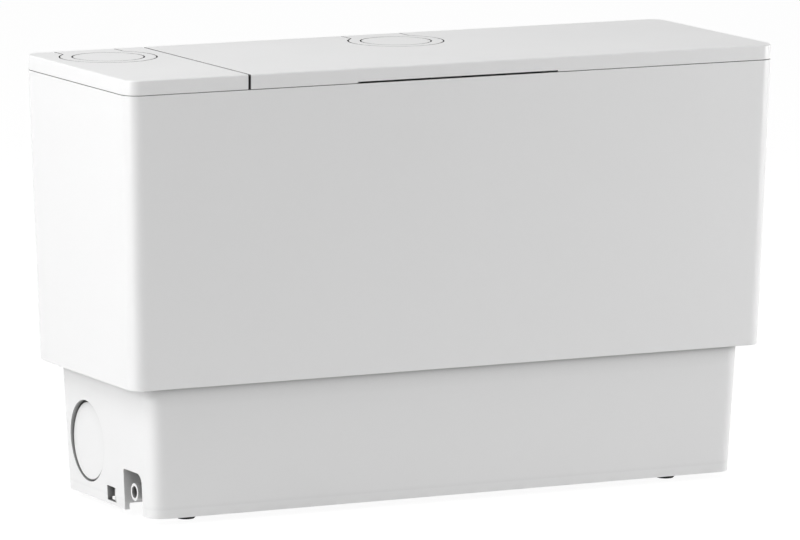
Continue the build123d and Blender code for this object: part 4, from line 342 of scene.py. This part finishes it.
def turned_stainless(settings):
    """Stainless steel turned on a lathe: fine rings across the upright axis, bright and clean.

    A lathe's rings are about 0.1 mm apart, too fine to show, and are drawn further apart.
    """
    material, shader = new_material("turned_stainless_steel", settings.steel,
                                    roughness=0.26, metallic=1.0)
    place = add_node(material, "ShaderNodeTexCoord").outputs["Object"]
    rings = add_node(material, "ShaderNodeTexWave",
                     {"bands_direction": "Z", "Scale": bands(settings.brush_pitch),
                      "Distortion": 1.5, "Detail": 2.0}, {"Vector": place})
    add_node(material, "ShaderNodeBump", {"Strength": 0.4, "Distance": 0.01 * MM},
             {"Height": rings.outputs["Fac"]}, {"Normal": (shader, "Normal")})
    add_node(material, "ShaderNodeMapRange", {"To Min": 0.22, "To Max": 0.34},
             {"Value": rings.outputs["Fac"]}, {"Result": (shader, "Roughness")})
    return material


def pressed_stainless(settings):
    """Stainless sheet, pressed and pickled: greyer and duller than turned, with fine rolling lines.

    The real lines are about 0.05 mm apart, too fine to show, and are drawn further apart.
    """
    material, shader = new_material("pressed_stainless_sheet", settings.steel,
                                    roughness=0.36, metallic=1.0)
    place = add_node(material, "ShaderNodeTexCoord").outputs["Object"]
    # the lines run upright
    along = add_node(material, "ShaderNodeMapping", {"Scale": (1.0, 1.0, 0.06)}, {"Vector": place})
    lines = add_node(material, "ShaderNodeTexNoise", {"Scale": 1 / settings.brush_pitch, "Detail": 3.0},
                     {"Vector": along.outputs["Vector"]})
    vary_tone(material, shader, settings.steel, lines.outputs["Fac"],
              ends=(0.3, 0.7), tones=(0.82, 0.98))
    add_node(material, "ShaderNodeBump", {"Strength": 0.4, "Distance": 0.008 * MM},
             {"Height": lines.outputs["Fac"]}, {"Normal": (shader, "Normal")})
    return material


def cast_aluminium(settings):
    """Die-cast aluminium: a pale skin, mottled by the die and slightly rough to the touch.

    The skin's real grain is under 0.5 mm wide, too fine to show, and is drawn coarser.
    """
    patch_width = 14 * MM
    material, shader = new_material("die_cast_aluminium", settings.aluminium,
                                    roughness=0.46, metallic=1.0)
    place = add_node(material, "ShaderNodeTexCoord").outputs["Object"]
    skin = add_node(material, "ShaderNodeTexNoise", {"Scale": 1 / settings.casting_grain, "Detail": 4.0},
                    {"Vector": place})
    mottle = add_node(material, "ShaderNodeTexNoise",
                      {"Scale": 1 / patch_width, "Detail": 4.0, "Roughness": 0.65},
                      {"Vector": place})
    vary_tone(material, shader, settings.aluminium, mottle.outputs["Fac"],
              ends=(0.35, 0.7), tones=(0.78, 1.0))
    add_node(material, "ShaderNodeBump", {"Strength": 0.6, "Distance": 0.05 * MM},
             {"Height": skin.outputs["Fac"]}, {"Normal": (shader, "Normal")})
    return material


def drawn_aluminium(settings):
    """A can drawn from aluminium sheet: smooth, with faint lines along the draw.

    The real lines are about 0.05 mm apart, too fine to show, and are drawn further apart.
    """
    material, shader = new_material("drawn_aluminium_can", settings.aluminium,
                                    roughness=0.3, metallic=1.0)
    place = add_node(material, "ShaderNodeTexCoord").outputs["Object"]
    # the can lies along the unit, and so do its lines
    along = add_node(material, "ShaderNodeMapping", {"Scale": (0.05, 1.0, 1.0)}, {"Vector": place})
    lines = add_node(material, "ShaderNodeTexNoise", {"Scale": 1 / settings.brush_pitch, "Detail": 2.0},
                     {"Vector": along.outputs["Vector"]})
    add_node(material, "ShaderNodeBump", {"Strength": 0.4, "Distance": 0.006 * MM},
             {"Height": lines.outputs["Fac"]}, {"Normal": (shader, "Normal")})
    return material


def stacked_laminations(settings):
    """Electrical steel: half-millimetre sheets stacked upright, oiled and blued at their edges."""
    sheet = 0.5 * MM
    blued = linear("6C6E74")
    material, shader = new_material("stacked_electrical_steel", blued, roughness=0.45, metallic=1.0)
    place = add_node(material, "ShaderNodeTexCoord").outputs["Object"]
    sheets = add_node(material, "ShaderNodeTexWave",
                      {"bands_direction": "Z", "Scale": bands(sheet)}, {"Vector": place})
    vary_tone(material, shader, blued, sheets.outputs["Fac"], ends=(0.0, 1.0), tones=(0.55, 1.1))
    add_node(material, "ShaderNodeBump", {"Strength": 0.6, "Distance": 0.05 * MM},
             {"Height": sheets.outputs["Fac"]}, {"Normal": (shader, "Normal")})
    return material


def enamelled_copper(settings):
    """Enamelled copper wire in bundles, amber brown, laid round the stator's bore."""
    wire = 0.9 * MM
    enamel = linear("9A4B20")
    material, shader = new_material("enamelled_copper_wire", enamel, roughness=0.3, metallic=0.7)
    place = add_node(material, "ShaderNodeTexCoord").outputs["Object"]
    wires = add_node(material, "ShaderNodeTexWave",
                     {"bands_direction": "Z", "Scale": bands(wire),
                      "Distortion": 3.0, "Detail": 2.0, "Detail Scale": 2.0}, {"Vector": place})
    add_node(material, "ShaderNodeBump", {"Strength": 0.9, "Distance": 0.3 * MM},
             {"Height": wires.outputs["Fac"]}, {"Normal": (shader, "Normal")})
    return material


def circuit_board(settings):
    """Glass-epoxy board under green solder mask, with copper tracks that show as paler lines."""
    track_spacing = 8 * MM
    mask = linear("1E5B34")
    track = linear("2F7A47")
    material, shader = new_material("solder_masked_board", mask, roughness=0.35, ior=1.55)
    place = add_node(material, "ShaderNodeTexCoord").outputs["Object"]
    tracks = add_node(material, "ShaderNodeTexBrick",
                      {"Scale": 1 / track_spacing, "Mortar Size": 0.08, "Color1": (*mask, 1),
                       "Color2": (*mask, 1), "Mortar": (*track, 1)},
                      {"Vector": place}, {"Color": (shader, "Base Color")})
    add_node(material, "ShaderNodeBump", {"Strength": 0.4, "Distance": 0.03 * MM},
             {"Height": tracks.outputs["Fac"]}, {"Normal": (shader, "Normal")})
    return material


# Pieces, one operator for each group


class PieceOperator:
    """What the operators of this add-on share."""

    bl_options = {"REGISTER", "UNDO"}


class LIFTING_UNIT_OT_casing(PieceOperator, bpy.types.Operator):
    """Finish the white casing and its two lids"""

    bl_idname = "lifting_unit.casing"
    bl_label = "Casing and lids"

    def execute(self, context):
        settings = context.scene.lifting_unit_finish
        small_lid_end = max(corner[0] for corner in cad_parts["small_lid"].bound_box)
        main_lid_end = min(corner[0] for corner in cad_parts["main_lid"].bound_box)
        split_x = (small_lid_end + main_lid_end) / 2
        finish(white_abs(settings, "white_moulded_abs"), "upper_casing")
        # the lids' material also paints shade along their split
        finish(white_abs(settings, "white_moulded_abs_lids", split_x), "small_lid", "main_lid")
        return {"FINISHED"}


class LIFTING_UNIT_OT_tank(PieceOperator, bpy.types.Operator):
    """Finish the tank, its stopper and its inner cover"""

    bl_idname = "lifting_unit.tank"
    bl_label = "Tank and cover"

    def execute(self, context):
        settings = context.scene.lifting_unit_finish
        finish(white_polypropylene(settings), "tank", "side_inlet_plug")
        finish(filled_polypropylene(settings), "tank_cover")
        return {"FINISHED"}


class LIFTING_UNIT_OT_rubber(PieceOperator, bpy.types.Operator):
    """Finish the feet, sleeves, seals, flaps, sensing hose and motor lead"""

    bl_idname = "lifting_unit.rubber"
    bl_label = "Rubber pieces"

    def execute(self, context):
        material = epdm_rubber(context.scene.lifting_unit_finish)
        finish(material, "foot_front_left", "foot_front_right", "foot_back_left", "foot_back_right",
               "tank_gasket", "wc_inlet_sleeve", "top_inlet_port", "side_inlet_seal", "side_inlet_flap",
               "check_valve_flap", "shaft_seal", "sensing_hose", "motor_lead")
        return {"FINISHED"}


class LIFTING_UNIT_OT_discharge(PieceOperator, bpy.types.Operator):
    """Finish the non-return valve, outlet, discharge pipe and pressure bell"""

    bl_idname = "lifting_unit.discharge"
    bl_label = "Discharge"

    def execute(self, context):
        material = grey_pvc(context.scene.lifting_unit_finish)
        finish(material, "check_valve_body", "discharge_outlet", "discharge_pipe", "pressure_bell")
        return {"FINISHED"}


class LIFTING_UNIT_OT_pump(PieceOperator, bpy.types.Operator):
    """Finish the pump, vent filter, level switch and other black plastic pieces"""

    bl_idname = "lifting_unit.pump"
    bl_label = "Pump and black plastic"

    def execute(self, context):
        material = black_polyamide(context.scene.lifting_unit_finish)
        finish(material, "pump_volute", "volute_cover", "impeller", "level_switch", "carbon_filter",
               "cable_gland", "capacitor_cradle")
        return {"FINISHED"}


class LIFTING_UNIT_OT_steel(PieceOperator, bpy.types.Operator):
    """Finish the screws, pins, bands, shaft, bearings, basket and cutter"""

    bl_idname = "lifting_unit.steel"
    bl_label = "Stainless steel"

    def execute(self, context):
        settings = context.scene.lifting_unit_finish
        finish(turned_stainless(settings), "cover_screws", "casing_screws", "valve_screws",
               "motor_screws", "control_box_screws", "side_inlet_flap_pin", "check_valve_pin",
               "motor_shaft", "lower_bearing", "upper_bearing")
        finish(pressed_stainless(settings), "cutter_basket", "cutter_blade", "top_inlet_clamp",
               "hose_clamps")
        return {"FINISHED"}


class LIFTING_UNIT_OT_motor(PieceOperator, bpy.types.Operator):
    """Finish the motor's castings, laminations and windings"""

    bl_idname = "lifting_unit.motor"
    bl_label = "Motor"

    def execute(self, context):
        settings = context.scene.lifting_unit_finish
        finish(cast_aluminium(settings), "motor_housing", "motor_end_cover")
        finish(stacked_laminations(settings), "stator_core", "rotor_core")
        finish(enamelled_copper(settings), "stator_windings")
        return {"FINISHED"}


class LIFTING_UNIT_OT_electrics(PieceOperator, bpy.types.Operator):
    """Finish the control box, its board and the capacitor"""

    bl_idname = "lifting_unit.electrics"
    bl_label = "Electrics"

    def execute(self, context):
        settings = context.scene.lifting_unit_finish
        finish(box_abs(settings), "control_box", "control_box_lid")
        finish(circuit_board(settings), "circuit_board")
        finish(drawn_aluminium(settings), "capacitor")
        return {"FINISHED"}


# Stage

# the photograph's camera, fitted to the unit's edges
CAMERA_AZIMUTH = math.radians(-26.278)
CAMERA_ELEVATION = math.radians(8.427)
CAMERA_ROLL = math.radians(0.12)
CAMERA_DISTANCE = 5.3572
CAMERA_SIDE_STEP = -0.878 * MM
CAMERA_UP_STEP = 151.98 * MM
LENS_MM = 342.02

# each lamp's name, its place, the point it looks at, its width, and the setting of its power
LAMPS = (
    ("left_lamp", (-4.43, -1.1, 2.18), (0, 0, 0.15), 1.2, "left_power"),
    ("edge_lamp", (-2.4, -0.7, 0.22), (0, 0, 0.15), 0.5, "edge_power"),
    ("top_left_lamp", (-1.3, 0, 1.5), (0, 0, 0.25), 0.9, "top_left_power"),
    ("top_lamp", (0, -0.3, 2.0), (0, 0, 0.25), 1.2, "top_power"),
    ("right_lamp", (1.6, -0.7, 0.35), (0.1, 0, 0.2), 0.5, "right_power"),
    ("far_edge_lamp", (2.4, 0.2, 0.34), (0.25, 0, 0.2), 0.6, "far_edge_power"),
)


def place_camera(scene):
    """Stand the camera where the photograph was taken from."""
    flat = math.cos(CAMERA_ELEVATION)
    back = Vector((math.sin(CAMERA_AZIMUTH) * flat, -math.cos(CAMERA_AZIMUTH) * flat,
                   math.sin(CAMERA_ELEVATION)))
    level = Vector((math.cos(CAMERA_AZIMUTH), math.sin(CAMERA_AZIMUTH), 0))
    steep = back.cross(level)
    right = level * math.cos(CAMERA_ROLL) + steep * math.sin(CAMERA_ROLL)
    up = back.cross(right)
    centre = right * CAMERA_SIDE_STEP + up * CAMERA_UP_STEP + back * CAMERA_DISTANCE
    camera = bpy.data.cameras.new("photo_camera")
    camera.sensor_width = 36.0
    camera.lens = LENS_MM
    camera.clip_end = 100.0
    holder = bpy.data.objects.new("photo_camera", camera)
    holder.matrix_world = Matrix.Translation(centre) @ Matrix((right, up, back)).transposed().to_4x4()
    scene.collection.objects.link(holder)
    scene.camera = holder


def soft_lamp(scene, name, place, target, size, power):
    """Square soft lamp that looks at a point."""
    lamp = bpy.data.lights.new(name, "AREA")
    lamp.size = size
    lamp.energy = power
    holder = bpy.data.objects.new(name, lamp)
    holder.location = place
    holder.rotation_euler = (Vector(target) - Vector(place)).to_track_quat("-Z", "Y").to_euler()
    scene.collection.objects.link(holder)


def looked_at(owner):
    """A socket that is 1 where the camera, a gloss or a glass looks, and 0 where a surface is lit."""
    path = add_node(owner, "ShaderNodeLightPath")
    mirrored = add_node(owner, "ShaderNodeMath", {"operation": "MAXIMUM"},
                        {0: path.outputs["Is Glossy Ray"], 1: path.outputs["Is Transmission Ray"]})
    seen = add_node(owner, "ShaderNodeMath", {"operation": "MAXIMUM"},
                    {0: path.outputs["Is Camera Ray"], 1: mirrored.outputs["Value"]})
    return seen.outputs["Value"]


class LIFTING_UNIT_OT_stage(PieceOperator, bpy.types.Operator):
    """Set the floor, lamps, room light and camera"""

    bl_idname = "lifting_unit.stage"
    bl_label = "Stage"

    def execute(self, context):
        scene = context.scene
        settings = scene.lifting_unit_stage
        scene.view_settings.view_transform = "Standard"
        place_camera(scene)
        for name, place, target, size, power in LAMPS:
            soft_lamp(scene, name, place, target, size, getattr(settings, power))
        self.light_room(scene, settings.room_light)
        self.lay_floor(scene, settings.floor_colour)
        return {"FINISHED"}

    def light_room(self, scene, strength):
        """Even light from all round, which looks plain white where it is seen."""
        world = bpy.data.worlds.new("room")
        world.use_nodes = True
        world.node_tree.nodes.clear()
        lit = add_node(world, "ShaderNodeBackground", {"Strength": strength})
        lit.inputs["Color"].default_value = (1, 1, 1, 1)
        plain = add_node(world, "ShaderNodeBackground", {"Strength": 1.0})
        plain.inputs["Color"].default_value = (1, 1, 1, 1)
        output = add_node(world, "ShaderNodeOutputWorld")
        add_node(world, "ShaderNodeMixShader", None,
                 {0: looked_at(world), 1: lit.outputs["Background"], 2: plain.outputs["Background"]},
                 {"Shader": (output, "Surface")})
        scene.world = world

    def lay_floor(self, scene, floor_colour):
        """Large pale floor: mostly plain white where it is seen, with a soft shadow kept in it."""
        half = 8.0
        # the rest of what is seen is the lit floor, so the white is a little over 1 to make up for it
        white_share = 0.8
        white_strength = 1.17
        mesh = bpy.data.meshes.new("floor")
        corners = [(-half, -half, 0), (half, -half, 0), (half, half, 0), (-half, half, 0)]
        mesh.from_pydata(corners, [], [(0, 1, 2, 3)])
        floor = bpy.data.objects.new("floor", mesh)
        scene.collection.objects.link(floor)
        material, shader = new_material("matt_white_floor_paint", floor_colour, roughness=0.9)
        output = material.node_tree.nodes["Material Output"]
        plain = add_node(material, "ShaderNodeEmission", {"Strength": white_strength})
        share = add_node(material, "ShaderNodeMath", {"operation": "MULTIPLY", 1: white_share},
                         {0: looked_at(material)})
        add_node(material, "ShaderNodeMixShader", None,
                 {0: share.outputs["Value"], 1: shader.outputs["BSDF"], 2: plain.outputs["Emission"]},
                 {"Shader": (output, "Surface")})
        mesh.materials.append(material)


OPERATORS = (
    LIFTING_UNIT_OT_casing,
    LIFTING_UNIT_OT_tank,
    LIFTING_UNIT_OT_rubber,
    LIFTING_UNIT_OT_discharge,
    LIFTING_UNIT_OT_pump,
    LIFTING_UNIT_OT_steel,
    LIFTING_UNIT_OT_motor,
    LIFTING_UNIT_OT_electrics,
    LIFTING_UNIT_OT_stage,
)


class LIFTING_UNIT_PT_sidebar(bpy.types.Panel):
    """Lists the unit's operators and settings"""

    bl_idname = "LIFTING_UNIT_PT_sidebar"
    bl_label = "Lifting unit"
    bl_space_type = "VIEW_3D"
    bl_region_type = "UI"
    bl_category = "Lifting unit"

    def draw(self, context):
        layout = self.layout
        for operator in OPERATORS:
            layout.operator(operator.bl_idname)
        for settings in (context.scene.lifting_unit_finish, context.scene.lifting_unit_stage):
            box = layout.box()
            for name in settings.__annotations__:
                box.prop(settings, name)


CLASSES = (LiftingUnitFinish, LiftingUnitStage, *OPERATORS, LIFTING_UNIT_PT_sidebar)


def register():
    for item in CLASSES:
        bpy.utils.register_class(item)
    bpy.types.Scene.lifting_unit_finish = PointerProperty(type=LiftingUnitFinish)
    bpy.types.Scene.lifting_unit_stage = PointerProperty(type=LiftingUnitStage)


def unregister():
    del bpy.types.Scene.lifting_unit_stage
    del bpy.types.Scene.lifting_unit_finish
    for item in reversed(CLASSES):
        bpy.utils.unregister_class(item)


def main():
    """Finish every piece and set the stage."""
    register()
    bpy.ops.lifting_unit.casing()
    bpy.ops.lifting_unit.tank()
    bpy.ops.lifting_unit.rubber()
    bpy.ops.lifting_unit.discharge()
    bpy.ops.lifting_unit.pump()
    bpy.ops.lifting_unit.steel()
    bpy.ops.lifting_unit.motor()
    bpy.ops.lifting_unit.electrics()
    bpy.ops.lifting_unit.stage()


if __name__ == "__main__":
    main()
